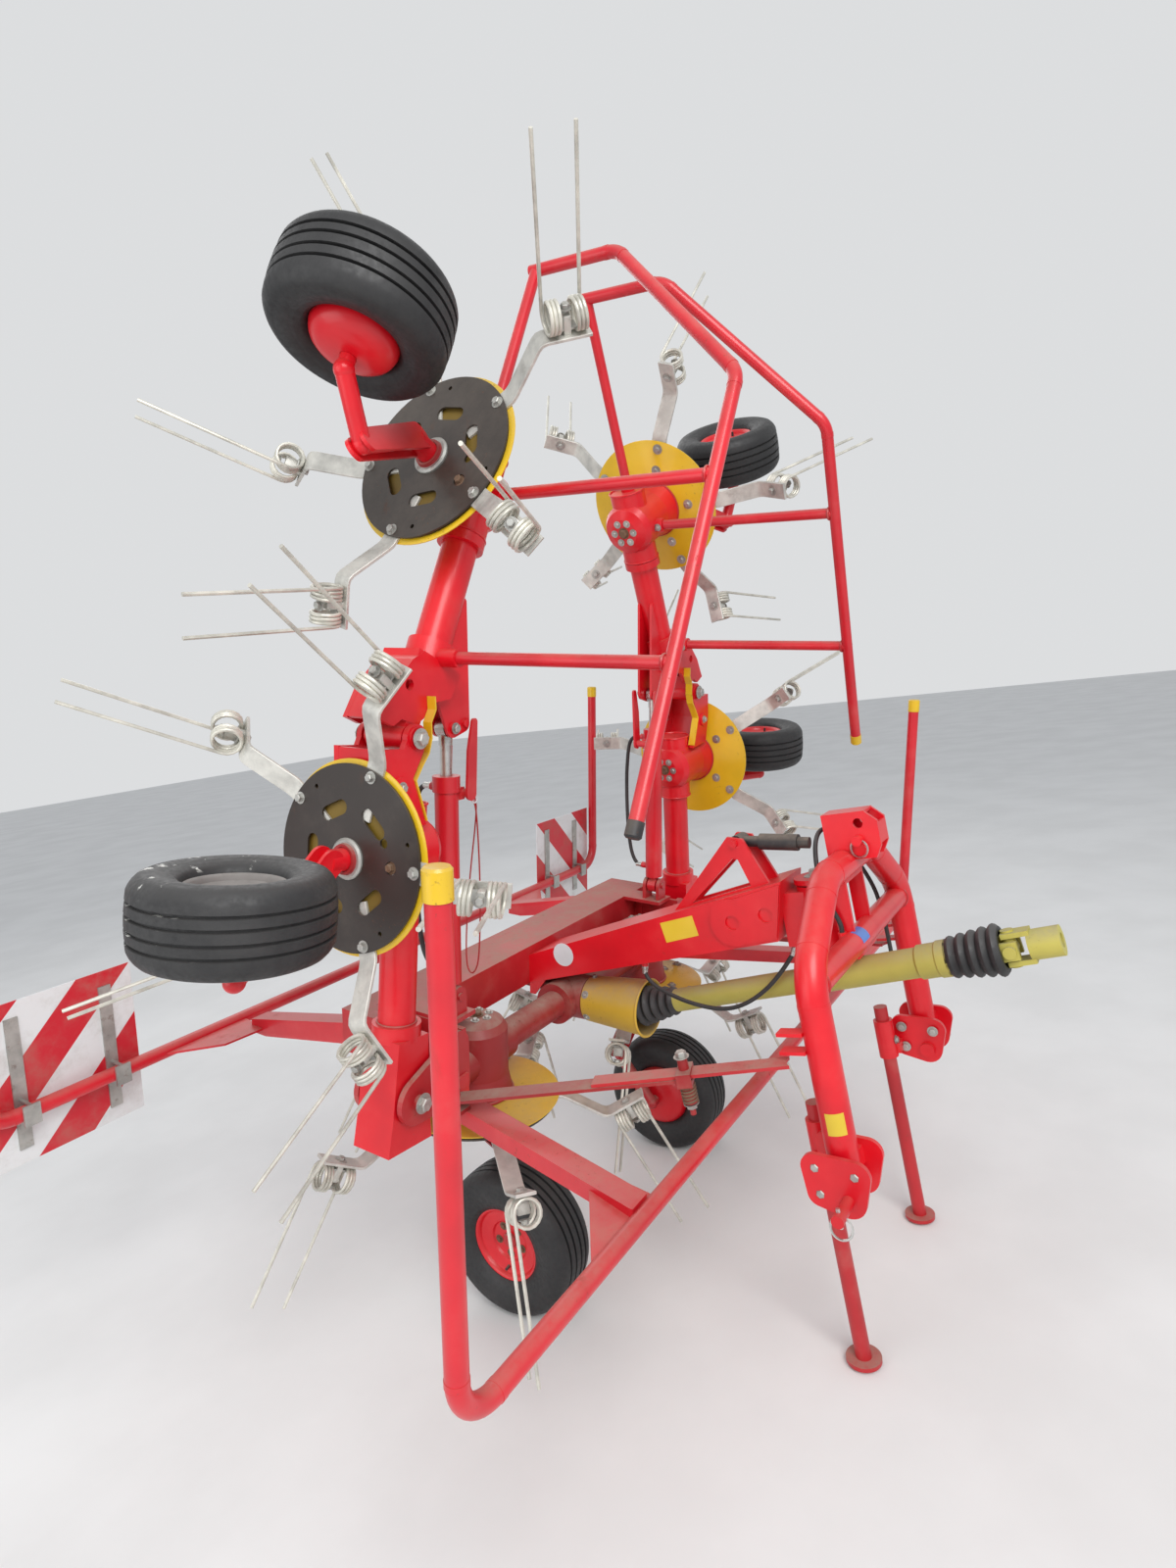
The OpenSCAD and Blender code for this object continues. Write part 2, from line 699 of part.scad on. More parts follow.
// The hose under the boom, level, from its gland to the web behind the swivel
boom_hose_route = [
    [-56, -300, 890], [-56, -300, 873], [-61, -314, 854], [-66, -338, 841], [-72, -370, 833],
    [-78, -405, 828], [-82, -440, 824], [-84, -478, 822], [-84, -515, 822], [-83, -552, 826],
    [-81, -588, 837], [-76, -622, 856], [-70, -652, 881], [-62, -680, 912], [-53, -704, 948],
    [-45, -724, 985], [-41, -736, 1012], [-40, -741, 1030]
];
module boom_hose() {
    color("black")
    stance() cord(boom_hose_route, head_hose_d);
}

// The hose over the headstock, in its frame: up behind the arch, across, and down inside the far leg to a coupler
head_hose_route = [
    [-87, -70, -28], [-87, -70, -10], [-88, -63, 16], [-90, -49, 50], [-90, -41, 90], [-88, -38, 128],
    [-80, -37, 164], [-60, -36, 196], [-28, -35, 214], [10, -35, 219], [48, -35, 212], [86, -35, 195],
    [124, -35, 172], [162, -35, 145], [200, -36, 115], [238, -38, 82], [270, -40, 48], [298, -43, 12],
    [320, -46, -26], [336, -47, -66], [346, -48, -108], [351, -48, -152], [353, -48, -200],
    [353, -48, -250]
];
module head_hose() {
    color("black")
    head() {
        cord(head_hose_route, head_hose_d);
        translate([353, -48, -292]) cylinder(r = 11, h = 44);
    }
}

// The pull cord of the near cylinder's hook: down from the hook, round, and up to it again
pull_route = [
    [-54.3, -41, 510.7], [-64, -42, 480], [-70, -43, 400], [-73, -44, 300], [-74, -43, 200],
    [-72, -39, 100], [-70, -32, 58], [-68, -20, 40], [-68, -8, 44], [-69, 1, 70], [-72, 3, 140],
    [-76, -2, 240], [-79, -12, 340], [-78, -26, 430], [-70, -38, 490], [-60.5, -41, 515]
];
module pull_cord() {
    color("red")
    at_ram(-1) cord(pull_route, pull_cord_d, [1, 0, 0], 8);
}

// Centre frame

module cross_beam() {
    color("red")
    stance() {
        translate([-beam_half, beam_y, beam_top - beam_h]) cube([2 * beam_half, beam_w, beam_h]);
        for (s = [-1, 1]) side(s) {
            for (e = [-1, 1])
                link_plate([[pivot_x, drive_z, eye_r - 4], [beam_half - 70, drive_z - 30, 40],
                    [beam_half - 70, beam_top - 50, 40]], ear_t, e * (ear_y + ear_t / 2));
            translate([beam_half - 100, -ear_y - ear_t, drive_z - 70])
                cube([14, beam_y + ear_y + ear_t + 10, beam_top - drive_z + 60]);
            translate([pivot_x, 0, drive_z]) along_y(pin_r, 2 * (ear_y + ear_t + 14));
            // Seat and ears of the fold cylinder
            translate([ram_x - 45, -45, beam_top - 12]) cube([90, beam_y + 55, 12]);
            for (e = [-1, 1]) translate([ram_x, e * (15 + side_gap + 6), ram_z]) {
                along_y(26, 12);
                translate([-26, -6, beam_top - ram_z - 6]) cube([52, 12, ram_z - beam_top + 6]);
            }
            translate([ram_x, 0, ram_z]) along_y(bolt_r, 78);
        }
    }
}

function boom_low(y) = beam_top - beam_h + 1 + (beam_y - y) * tan(boom_under);
function boom_high(y) = beam_top - beam_h + 1 + boom_h + (beam_y - y) * tan(boom_rise);
boom_back = beam_y - 0.3;
boom_front = beam_y - boom_len;
patch_y = boom_front + 128;
stay_y = -560;
stay_z = 1284;
stay_x = 34;
sleeve_half = 84;
// Gland of the hose under the boom
hose_x = -56;
hose_y = -300;
hose_z = 890;
module boom() {
    color("red") {
        stance() {
            upright(boom_w)
                polygon([[boom_back, boom_low(boom_back)], [boom_front, boom_low(boom_front)],
                    [boom_front, boom_high(boom_front)], [boom_back, boom_high(boom_back)]]);
            for (e = [-1, 1]) {
                upright(8, e * (boom_w / 2 + 3)) boom_patch();
                // Rear gusset down to the centre gearbox's hanger
                upright(8, e * (boom_w / 2 - 6))
                    polygon([[boom_back, boom_low(boom_back) + 20], [boom_back, tube_z + 10], [boom_back - 20, tube_z + 10],
                        [boom_back - 70, boom_low(boom_back - 70) + 10]]);
                // Stay that carries the damper's rear eye
                upright(10, e * stay_x)
                    difference() {
                        polygon([[-375, boom_high(-375) - 12], [stay_y + 22, stay_z + 16], [stay_y - 22, stay_z + 16],
                            [-668, boom_high(-668) - 12]]);
                        polygon([[-440, boom_high(-440) + 6], [stay_y + 4, stay_z - 42], [stay_y - 12, stay_z - 42],
                            [-612, boom_high(-612) + 6]]);
                    }
            }
            translate([-stay_x - 14, stay_y, stay_z]) along_x(10, 2 * stay_x + 28);
            translate([hose_x, hose_y, hose_z]) cylinder(r = 10, h = boom_low(hose_y) - hose_z + 6);
        }
        head()
            difference() {
                union() {
                    translate([0, 0, -sleeve_half]) cylinder(r = 56, h = 2 * sleeve_half);
                    translate([-50, 0, -sleeve_half + 12]) cube([100, 92, 2 * sleeve_half - 24]);
                }
                translate([0, 0, -110]) cylinder(r = axle_r + pin_gap, h = 220);
            }
    }
}

module boom_patch() {
    mid = (boom_low(patch_y) + boom_high(patch_y)) / 2;
    difference() {
        union() {
            polygon([[boom_front + 2, boom_low(boom_front) + 8], [patch_y, boom_low(patch_y) + 9],
                [patch_y, boom_high(patch_y) - 9], [boom_front + 2, boom_high(boom_front) - 8]]);
            translate([patch_y, mid]) circle(r = (boom_high(patch_y) - boom_low(patch_y)) / 2 - 11);
        }
        for (y = [patch_y, patch_y - 92])
            translate([y, (boom_low(y) + boom_high(y)) / 2]) circle(r = 20);
    }
}

nose_end = 96;
module centre_drive() {
    color("firebrick")
    stance() {
        for (s = [-1, 1]) side(s) {
            translate([rotor_x, 0, drive_z]) gearbox(drive_z - tube_z);
            translate([0, 0, tube_z]) along_x(42, rotor_x - 90, 60);
            // Hanger under the cross beam
            translate([rotor_x - 80, 45, beam_top - beam_h - 20.3]) cube([160, 155, 20]);
        }
        translate([0, 0, tube_z]) {
            along_x(64, 180, -90);
            rotate([90 - cone_rise, 0, 0]) cylinder(r = 50, h = nose_end);
            rotate([90 - cone_rise, 0, 0]) cylinder(r = 68, h = 80);
        }
        translate([-60, 45, beam_top - beam_h - 20.3]) cube([120, 155, 20]);
    }
}

// The drive shaft leaves the gearbox in the cone, and rises to the front on its way to the tractor
cone_start = 84;
cone_r = 70;
cone_mouth = 84;
joint_y = -joint_out * cos(cone_rise);
joint_z = tube_z + joint_out * sin(cone_rise);
module cone_line() stance() translate([0, 0, tube_z]) rotate([90 - cone_rise, 0, 0]) children();
module pto_line() stance() translate([0, joint_y, joint_z]) rotate([90 - pto_rise, 0, 0]) children();

module pto_cone() {
    color("gold")
    cone_line()
    translate([0, 0, cone_start])
    difference() {
        cylinder(r1 = cone_r, r2 = cone_mouth, h = cone_len);
        translate([0, 0, 6]) cylinder(r1 = cone_r - 4, r2 = cone_mouth - 4, h = cone_len);
        translate([0, 0, -1]) cylinder(r = 50.3, h = 12);
    }
}

// Guard: a bellows, two telescoping tubes and a second bellows, as stages along the shaft
bellow = 26;
tube_start = 130;
tube_end = 930;
guard_end = tube_end + 5 * bellow;
module pto_guard() {
    color("yellowgreen")
    pto_line()
    difference() {
        union() {
            for (i = [0 : 4]) translate([0, 0, 10 + i * bellow]) cylinder(r1 = 62 - i * 5, r2 = 50 - i * 4, h = bellow + 0.5);
            translate([0, 0, tube_start]) cylinder(r = guard_tube_r, h = tube_end - tube_start);
            translate([0, 0, 560]) cylinder(r = guard_tube_r + 5, h = tube_end - 560);
            for (i = [0 : 4]) translate([0, 0, tube_end - 5 + i * bellow])
                cylinder(r1 = 52 + i * 3, r2 = 58 + i * 3, h = bellow + 0.5);
        }
        translate([0, 0, tube_end]) cylinder(r = 50, h = 300);
        translate([0, 0, tube_end - 130]) cylinder(r = shaft_r + 1, h = 200);
    }
    // Shaft and joint between the gearbox's nose and the bellows
    color("yellowgreen") {
        cone_line() translate([0, 0, nose_end + 0.3]) cylinder(r = 22, h = joint_out - nose_end - 10);
        pto_line() translate([0, 0, -12]) cylinder(r = 24, h = 30);
    }
}

// The free end's yoke and its short spline shaft inside the guard
shaft_r = 15;
yoke_at = tube_end + 66;
yoke_end = yoke_at + 186;
module pto_yoke() {
    color("silver")
    pto_line() {
        translate([0, 0, tube_end - 120]) cylinder(r = shaft_r, h = 200);
        difference() {
            union() {
                translate([0, 0, yoke_at]) cylinder(r = 30, h = 40);
                for (e = [-1, 1]) translate([e * 30 - 6, -22, yoke_at + 30]) cube([12, 44, 64]);
                translate([0, 0, yoke_at + 76]) along_x(15, 90, -45);
                translate([0, 0, yoke_at + 76]) along_y(15, 90);
                for (e = [-1, 1]) translate([-22, e * 34 - 6, yoke_at + 62]) cube([44, 12, 62]);
                translate([0, 0, yoke_end - 70]) cylinder(r = 36, h = 70);
            }
            translate([0, 0, yoke_end - 57]) cylinder(r = pto_bore_r, h = 80);
        }
    }
}

module wheel_legs() {
    color("red")
    for (s = [-1, 1]) at_rotor(s, 0) wheel_leg(0, gear_foot - 0.3);
}

// Guards

guard_bend = 90;
module guard_front_frame() {
    z = guard_z;
    y = guard_front;
    color("red")
    stance() {
        pipe_xz([[-guard_half, pole_top], [-guard_half, z], [guard_half, z], [guard_half, pole_top]],
            guard_bend, guard_r, y);
        for (s = [-1, 1]) side(s) {
            hull() {
                translate([beam_half - 96, -ear_y - ear_t - 8, z - 56]) cube([60, 7.7, 44]);
                translate([beam_half + 66, y + guard_r - 4, z - 18]) cube([60, 8, 40]);
            }
            translate([beam_half - 96, -ear_y - ear_t - 8, z - 56]) cube([60, 7.7, 100]);
            linear_plate([[beam_half + 40, y + 10], [beam_half + 290, y + 10], [beam_half + 60, y + 160],
                [beam_half + 24, y + 160]], 6, z - 3);
        }
    }
}

module linear_plate(pts, t, z) translate([0, 0, z]) linear_extrude(height = t) polygon(pts);

module guard_rear_frame() {
    z = guard_z;
    y = guard_rear;
    color("red")
    stance() {
        for (s = [-1, 1]) side(s) {
            pipe_xz([[guard_half, pole_top], [guard_half, z], [0, z]], guard_bend, guard_r, y);
            linear_plate([[640, y - 10], [910, y - 10], [780, y - 110], [660, y - 120]], 6, z - 3);
            hull() {
                translate([600, y - 130, z - 20]) cube([60, 60, 40]);
                translate([beam_half - 90, beam_y + beam_w + 0.3, z + 58]) cube([60, 8, 60]);
            }
        }
    }
}

board_x = 950;
board_z = 556;
board_y = guard_rear + guard_r + 12;
module warning_boards() {
    color("white")
    stance()
    for (s = [-1, 1]) side(s) translate([board_x, board_y, board_z]) cube([board, 3, board]);
}

module board_brackets() {
    color("gray")
    stance()
    for (s = [-1, 1]) side(s)
        for (x = [board_x + 60, board_x + 290]) {
            translate([x, board_y - 5.3, board_z + 40]) cube([32, 5, board - 80]);
            translate([x - 4, guard_rear - guard_r - 6, guard_z - guard_r - 8]) cube([40, 5.7, 2 * guard_r + 16]);
            for (e = [-1, 1]) translate([x + 12, guard_rear - guard_r - 4, guard_z + e * (guard_r + 4.3) - 2.5])
                cube([8, board_y - 5.3 - guard_rear + guard_r + 4, 5]);
        }
}

// Damping struts: a bar on the frame and a bar that slides past it with the headstock
strut_a = [690, -118, 722];
strut_b = [418, -900, 905];
strut_dir = (strut_b - strut_a) / norm(strut_b - strut_a);
strut_len = norm(strut_b - strut_a);
slide_z = 8.3;
module strut_line(s)
    stance() side(s)
    translate(strut_a)
    rotate([0, -asin(strut_dir.z), atan2(strut_dir.y, strut_dir.x)])
        children();

module strut_bars() {
    color("firebrick")
    for (s = [-1, 1]) strut_line(s) {
        difference() {
            translate([-26, -25, 0]) cube([strut_len * 0.72, 50, 8]);
            cylinder(r = 11, h = 40, center = true);
        }
        // Clamp block with its long bolt
        translate([strut_len * 0.66, -32, -10]) cube([34, 6, slide_z + 24]);
        translate([strut_len * 0.66, 26, -10]) cube([34, 6, slide_z + 24]);
        translate([strut_len * 0.66, -32, -10]) cube([34, 64, 10]);
        translate([strut_len * 0.66, -32, slide_z + 8.3]) cube([34, 64, 6]);
        translate([strut_len * 0.66 + 17, 0, -90]) cylinder(r = 7, h = 82);
        translate([strut_len * 0.66 + 17, 0, -60]) cylinder(r = 15, h = 50);
        translate([strut_len * 0.66 + 17, 0, slide_z + 14]) cylinder(r = 12, h = 30);
    }
    color("firebrick")
    stance()
    for (s = [-1, 1]) side(s) {
        translate(strut_a + [0, 0, -22]) cylinder(r = 10, h = 52);
        translate(strut_a + [-24, -25, -28]) cube([54, -ear_y - ear_t - 0.3 - strut_a.y + 25, 10]);
    }
}

module strut_slide(s) {
    color("red")
    strut_line(s) {
        difference() {
            translate([strut_len * 0.42, -22, slide_z]) cube([strut_len * 0.58 - 22, 44, 8]);
            translate([strut_len, 0, 0]) cylinder(r = 40, h = 60, center = true);
        }
    }
}

// Headstock

cheek_z = sleeve_half + 5;
module headstock() {
    h = arch_half;
    y = -arch_ahead;
    color("red")
    head() {
        difference() {
            union() {
                pipe_xz([[-h, -450], [-h, -30], [-190, 134], [190, 134], [h, -30], [h, -450]], 140, arch_r, y);
                for (s = [-1, 1]) side(s) {
                    fork();
                    strut_lug();
                    stand_sleeve();
                }
                bar([-h, y, -62], [h, y, -62], 31);
                // Swivel cheeks over and under the boom's sleeve
                for (z = [-cheek_z - 14, cheek_z]) hull() {
                    translate([0, 0, z]) cylinder(r = 60, h = 14, $fn = 32);
                    translate([-70, y - 10, z]) cube([140, 20, 14]);
                }
                translate([0, 0, -cheek_z - 10]) cylinder(r = axle_r, h = 2 * cheek_z + 20);
                for (e = [-1, 1]) translate([e * 72 - 5, y - 10, -cheek_z - 14]) cube([10, 40, cheek_z + 130]);
                // Clip that the hose rises from
                translate([-87, -70, -90]) cylinder(r = 11, h = 61.7);
            }
            for (s = [-1, 1]) side(s) translate([stand_x, 0, -700]) cylinder(r = stand_r + 0.3, h = 400);
        }
    }
}

// Two plates round the leg's foot and the lower hitch pin that passes out of them
hitch_y = -102;
hitch_z = -515;
module fork() {
    for (x = [arch_half - 58, arch_half + 46])
        translate([x, 0, 0])
        rotate([0, 0, 90])
            translate([0, -6, 0]) link_plate([[hitch_y, hitch_z, 40], [hitch_y - 24, hitch_z + 56, 34],
                [hitch_y + 62, hitch_z + 70, 32], [hitch_y + 60, hitch_z + 10, 30]], 12);
    translate([arch_half - 52, -arch_ahead - 30, -478]) cube([104, 60, 40]);
    translate([arch_half - 70, hitch_y, hitch_z]) along_x(hitch_r + 6, 116);
    translate([arch_half - 70, hitch_y, hitch_z]) along_x(hitch_r, 128 + hitch_len);
}

module strut_lug() {
    translate([arch_half - 5, -arch_ahead + 30, -202]) cube([34, 60, 8]);
    translate([arch_half - 5, -arch_ahead + 30, -160]) cube([34, 60, 8]);
}

module stand_sleeve() {
    translate([stand_x, 0, -520]) cylinder(r = stand_r + 8, h = 110);
    translate([stand_x, -36, -512]) cube([arch_half - 52 - stand_x, 50, 30]);
}

link_box_h = 112;
box_top = 142 + link_box_h + 8;
link_y = -144;
link_z = 232;
link_low = 190;
module link_box() {
    color("red")
    head()
    difference() {
        union() {
            for (e = [-1, 1])
                upright(10, e * 33)
                    polygon([[-54, 142], [-54, box_top], [-162, box_top], [-192, box_top - 28], [-192, 172], [-176, 142]]);
            translate([-38, -164, box_top - 8]) cube([76, 110, 8]);
            translate([-38, -192, 176]) cube([76, 8, box_top - 210]);
            translate([-38, -62, 142]) cube([76, 8, link_box_h]);
            translate([-38, -130, 142 + 36]) cube([76, 70, 8]);
            translate([-8, -139, link_low]) along_x(link_r - 0.4, 120, -52);
        }
        translate([-60, link_y, link_z]) along_x(link_r, 120);
        translate([-70, -arch_ahead, 134]) along_x(arch_r + 0.3, 140);
    }
}

module stand(s) {
    color("firebrick")
    head() side(s)
    difference() {
        union() {
            translate([stand_x, 0, -1010]) cylinder(r = stand_r, h = 640);
            translate([stand_x, 0, -1010]) rotate([head_tilt - nose_down, 0, 0]) translate([0, 0, stand_foot]) cylinder(r = 42, h = 10);
        }
        translate([stand_x, 0, -1010]) rotate([head_tilt - nose_down, 0, 0]) translate([0, 0, stand_foot - 50]) cylinder(r = 80, h = 50);
    }
}
stand_foot = -6;

// Rear eye on the boom's stay, front eye at the headstock
damper_len = 196;
module swivel_damper() {
    color("dimgray")
    stance()
    translate([0, stay_y, stay_z])
    rotate([84, 0, 0]) {
        difference() {
            union() {
                rotate([0, 90, 0]) cylinder(r = 20, h = 2 * stay_x - 14, center = true);
                cylinder(r = 15, h = damper_len);
                translate([0, 0, 60]) cylinder(r = 22, h = 106);
            }
            rotate([0, 90, 0]) cylinder(r = bolt_r + 0.3, h = 80, center = true);
        }
    }
}

cross_beam();
boom();
centre_drive();
wheel_legs();
guard_front_frame();  // front_guard
guard_rear_frame();  // rear_guard
warning_boards();
board_brackets();
strut_bars();
swivel_damper();
pto_cone();
pto_guard();
pto_yoke();
headstock();
link_box();
boom_hose();
head_hose();
pull_cord();
for (s = SIDES) {
    stand(s[1]);
    strut_slide(s[1]);
    inner_arm(s[1]);
    outer_arm(s[1]);
    hoop(s[1]);
    hinge_guard(s[1]);
    ram_barrel(s[1]);
    ram_rod(s[1]);
    ram_hose(s[1]);
}
for (r = ROTORS) {
    rotor_discs(r);
    rotor_tines(r);
}
for (w = WHEELS) {
    tyre(w);
    rim(w);
}
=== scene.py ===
"""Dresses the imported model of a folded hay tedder: finishes, rotors, tyres, hoses and small trim.

Sizes are in metres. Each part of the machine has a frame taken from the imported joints, in which x, y
and z run as they do in the part's own source, so a piece is placed where that source places its solid.
"""

import json
import math

import bmesh
import bpy
from mathutils import Matrix, Vector
from mathutils.geometry import tessellate_polygon


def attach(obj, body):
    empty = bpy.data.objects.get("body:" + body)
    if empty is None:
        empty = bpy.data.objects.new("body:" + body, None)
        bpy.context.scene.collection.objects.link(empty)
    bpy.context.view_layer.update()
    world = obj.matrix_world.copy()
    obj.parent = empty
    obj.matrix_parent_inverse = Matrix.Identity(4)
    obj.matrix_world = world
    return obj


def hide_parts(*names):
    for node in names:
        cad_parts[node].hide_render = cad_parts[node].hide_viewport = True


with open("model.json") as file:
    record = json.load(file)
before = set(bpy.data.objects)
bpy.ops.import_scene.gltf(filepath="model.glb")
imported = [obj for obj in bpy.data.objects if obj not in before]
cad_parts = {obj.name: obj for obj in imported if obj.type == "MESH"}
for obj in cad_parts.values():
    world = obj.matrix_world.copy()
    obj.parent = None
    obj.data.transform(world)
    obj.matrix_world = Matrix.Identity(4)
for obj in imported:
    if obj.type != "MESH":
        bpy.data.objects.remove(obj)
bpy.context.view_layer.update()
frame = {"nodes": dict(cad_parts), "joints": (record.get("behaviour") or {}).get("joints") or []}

# Sizes shared with the solids

WHEEL_AHEAD, WHEEL_DROP, ROTOR_X, DRIVE_Z = 0.12, 0.545, 0.46, 0.75
WHEEL_Z = DRIVE_Z - WHEEL_DROP
DISC_DROP, DISC_R, PLATE_R, DISC_T = 0.157, 0.222, 0.212, 0.005
ARMS, ARM_W, ARM_T = 5, 0.050, 0.008
PLATE_DROP = DISC_DROP + ARM_T + DISC_T
ARM_ROOT, ARM_BEND_R, ARM_BEND_DROP, ARM_END, TINE_LEAN = 0.100, 0.353, 0.067, 0.116, 30
WIRE_R, COIL_R, COIL_W, COIL_GAP, TINE_LEN = 0.0044, 0.032, 0.038, 0.020, 0.345
# Where the tine's clamp sits, as a share of the arm's raised end
CLAMP_SHARE = 0.54
COIL_SEAT = COIL_R + 0.00475 + ARM_T / 2
TYRE_W, DOME = 0.160, 0.020
# Wheels by section: offset from the rotor axis, tyre radius, rim radius
WHEELS = {1: (0.0, 0.205, 0.102), 2: (-0.035, 0.178, 0.088), 3: (0.045, 0.178, 0.088)}
SLOT_ANGLES, SLOT_AT, SLOT_HALF, SLOT_LEN = (50, 115, 180, 245, 310), 0.113, 0.017, 0.082
# Round holes of the lower plate: distance from the axis, angle from the marked arm, radius
PLATE_HOLES = [
    (SLOT_AT + 0.018, 0, 0.015), (0.184, 18, 0.0055), (0.184, 126, 0.0055), (0.184, -54, 0.0055),
    (0.184, 198, 0.0055), (0.118, 25, 0.011)]
GEAR_R, GEAR_TOP = 0.082, 0.074
PHASE, HALF_STEP = 19.5, 36
PIVOT_X, HINGE_U, HINGE_DROP, EAR_Y, EAR_T = 0.780, 0.870, 0.045, 0.064, 0.015
ROTOR_OUT = 0.650
GUARD_HALF, GUARD_R, GUARD_FRONT, GUARD_REAR, POLE_TOP = 1.375, 0.019, -0.705, 0.768, 1.562
HOOP_R, HOOP_FRONT, HOOP_W = 0.016, 0.655, 0.036
STRUT_A, STRUT_B = Vector((0.690, -0.118, 0.722)), Vector((0.418, -0.900, 0.905))
STRUT_LEN = (STRUT_B - STRUT_A).length
STRUT_BOLT = STRUT_LEN * 0.66 + 0.017
RAM_PORTS, PORT_Y = (0.545, 0.070), 0.0265
ARCH_HALF, ARCH_AHEAD, ARCH_R, CROSS_R, CROSS_DROP = 0.405, 0.088, 0.036, 0.031, 0.062
HITCH_PIN = Vector((ARCH_HALF + 0.122, -0.102, -0.515))
BOOM_SIDE, BOOM_SLOPE, LABEL_T = -0.0804, 22, 0.0008
STRIPE_PITCH = 0.2828

# A rotor row: side, section (1 centre, 2 inner wing, 3 outer wing), angle of its first arm and the arm from
# which its plate's holes are counted
ROTORS = [
    ("right", 1, PHASE, 0), ("right", 2, -PHASE, 4), ("right", 3, PHASE, 3),
    ("left", 1, HALF_STEP + PHASE, 0), ("left", 2, -HALF_STEP - PHASE, 4), ("left", 3, HALF_STEP + PHASE, 3),
]
SIDES = (("right", -1), ("left", 1))
CARRIER = {1: "frame", 2: "wing_inner_{}", 3: "wing_outer_{}"}

# Frames

JOINTS = {joint["name"]: joint for joint in frame["joints"]}


def joint_at(name):
    return Vector(JOINTS[name]["pos_m"])


def joint_axis(name):
    return Vector(JOINTS[name]["axis"]).normalized()


def axes(origin, x, y, z):
    matrix = Matrix((x, y, z)).transposed().to_4x4()
    matrix.translation = origin
    return matrix


X = Vector((1, 0, 0))
REAR = joint_axis("wing_fold_left")
UP = X.cross(REAR)
# The frame in which the source draws the machine, before its nose-down stance
LEVEL = axes(joint_at("wheel_spin_left_1") - X * ROTOR_X + REAR * WHEEL_AHEAD - UP * WHEEL_Z, X, REAR, UP)


def along(name, origin):
    """A frame whose z follows a joint's axis and whose x is the machine's."""
    z = joint_axis(name)
    return axes(origin, X, z.cross(X), z)


HEAD = along("headstock_swivel", joint_at("headstock_swivel"))
PTO = along("drive_spin", joint_at("drive_spin"))
ROTOR, INNER, OUTER, RAM, STRUT = {}, {}, {}, {}, {}
for word, section, _, _ in ROTORS:
    ROTOR[word, section] = axes(
        joint_at(f"rotor_spin_{word}_{section}"), joint_axis(f"wheel_spin_{word}_{section}"), REAR,
        joint_axis(f"rotor_spin_{word}_{section}"))
for word, s in SIDES:
    for store, joint, section in ((INNER, "wing_fold", 2), (OUTER, "wing_hinge", 3)):
        rotor = ROTOR[word, section]
        store[word] = axes(joint_at(f"{joint}_{word}"), rotor.col[0].xyz, REAR, rotor.col[2].xyz)
    stroke = joint_axis(f"ram_stroke_{word}")
    RAM[word] = axes(joint_at(f"ram_swing_{word}"), REAR.cross(stroke) * s, REAR, stroke)
    travel = joint_axis(f"strut_travel_{word}")
    across = UP.cross(travel).normalized()
    STRUT[word] = axes(LEVEL @ Vector((s * STRUT_A.x, STRUT_A.y, STRUT_A.z)), travel, across, travel.cross(across))


def side_of(matrix, s):
    """The same frame, mirrored left to right on the right-hand side."""
    return matrix @ Matrix.Diagonal((s, 1, 1, 1))


def turned(axis, degrees):
    return Matrix.Rotation(math.radians(degrees), 4, axis)


def moved(x, y, z):
    return Matrix.Translation((x, y, z))


def aimed(point, direction):
    """Places a shape drawn along z at a point, looking along a direction."""
    turn = Vector((0, 0, 1)).rotation_difference(Vector(direction)).to_matrix().to_4x4()
    return moved(*point) @ turn


# Camera, as solved from the photograph, in the level frame

CAMERA_AT = Vector((-2.210, -1.462, 1.880))
CAMERA_VIEW = Vector((0.8325, 0.5234, -0.1819))
CAMERA_RIGHT = Vector((0.5312, -0.8472, -0.0065))
LENS = 20.35
camera_data = bpy.data.cameras.new("camera")
camera_data.lens = LENS
camera_data.sensor_width = 36
camera_data.clip_start = 0.05
camera = bpy.data.objects.new("camera", camera_data)
bpy.context.scene.collection.objects.link(camera)
view = CAMERA_VIEW.normalized()
right = (CAMERA_RIGHT - view * CAMERA_RIGHT.dot(view)).normalized()
camera.matrix_world = LEVEL @ axes(CAMERA_AT, right, right.cross(view), -view)
bpy.context.scene.camera = camera

# Materials

RUST = (0.13, 0.045, 0.018, 1)
DUST = (0.33, 0.27, 0.21, 1)


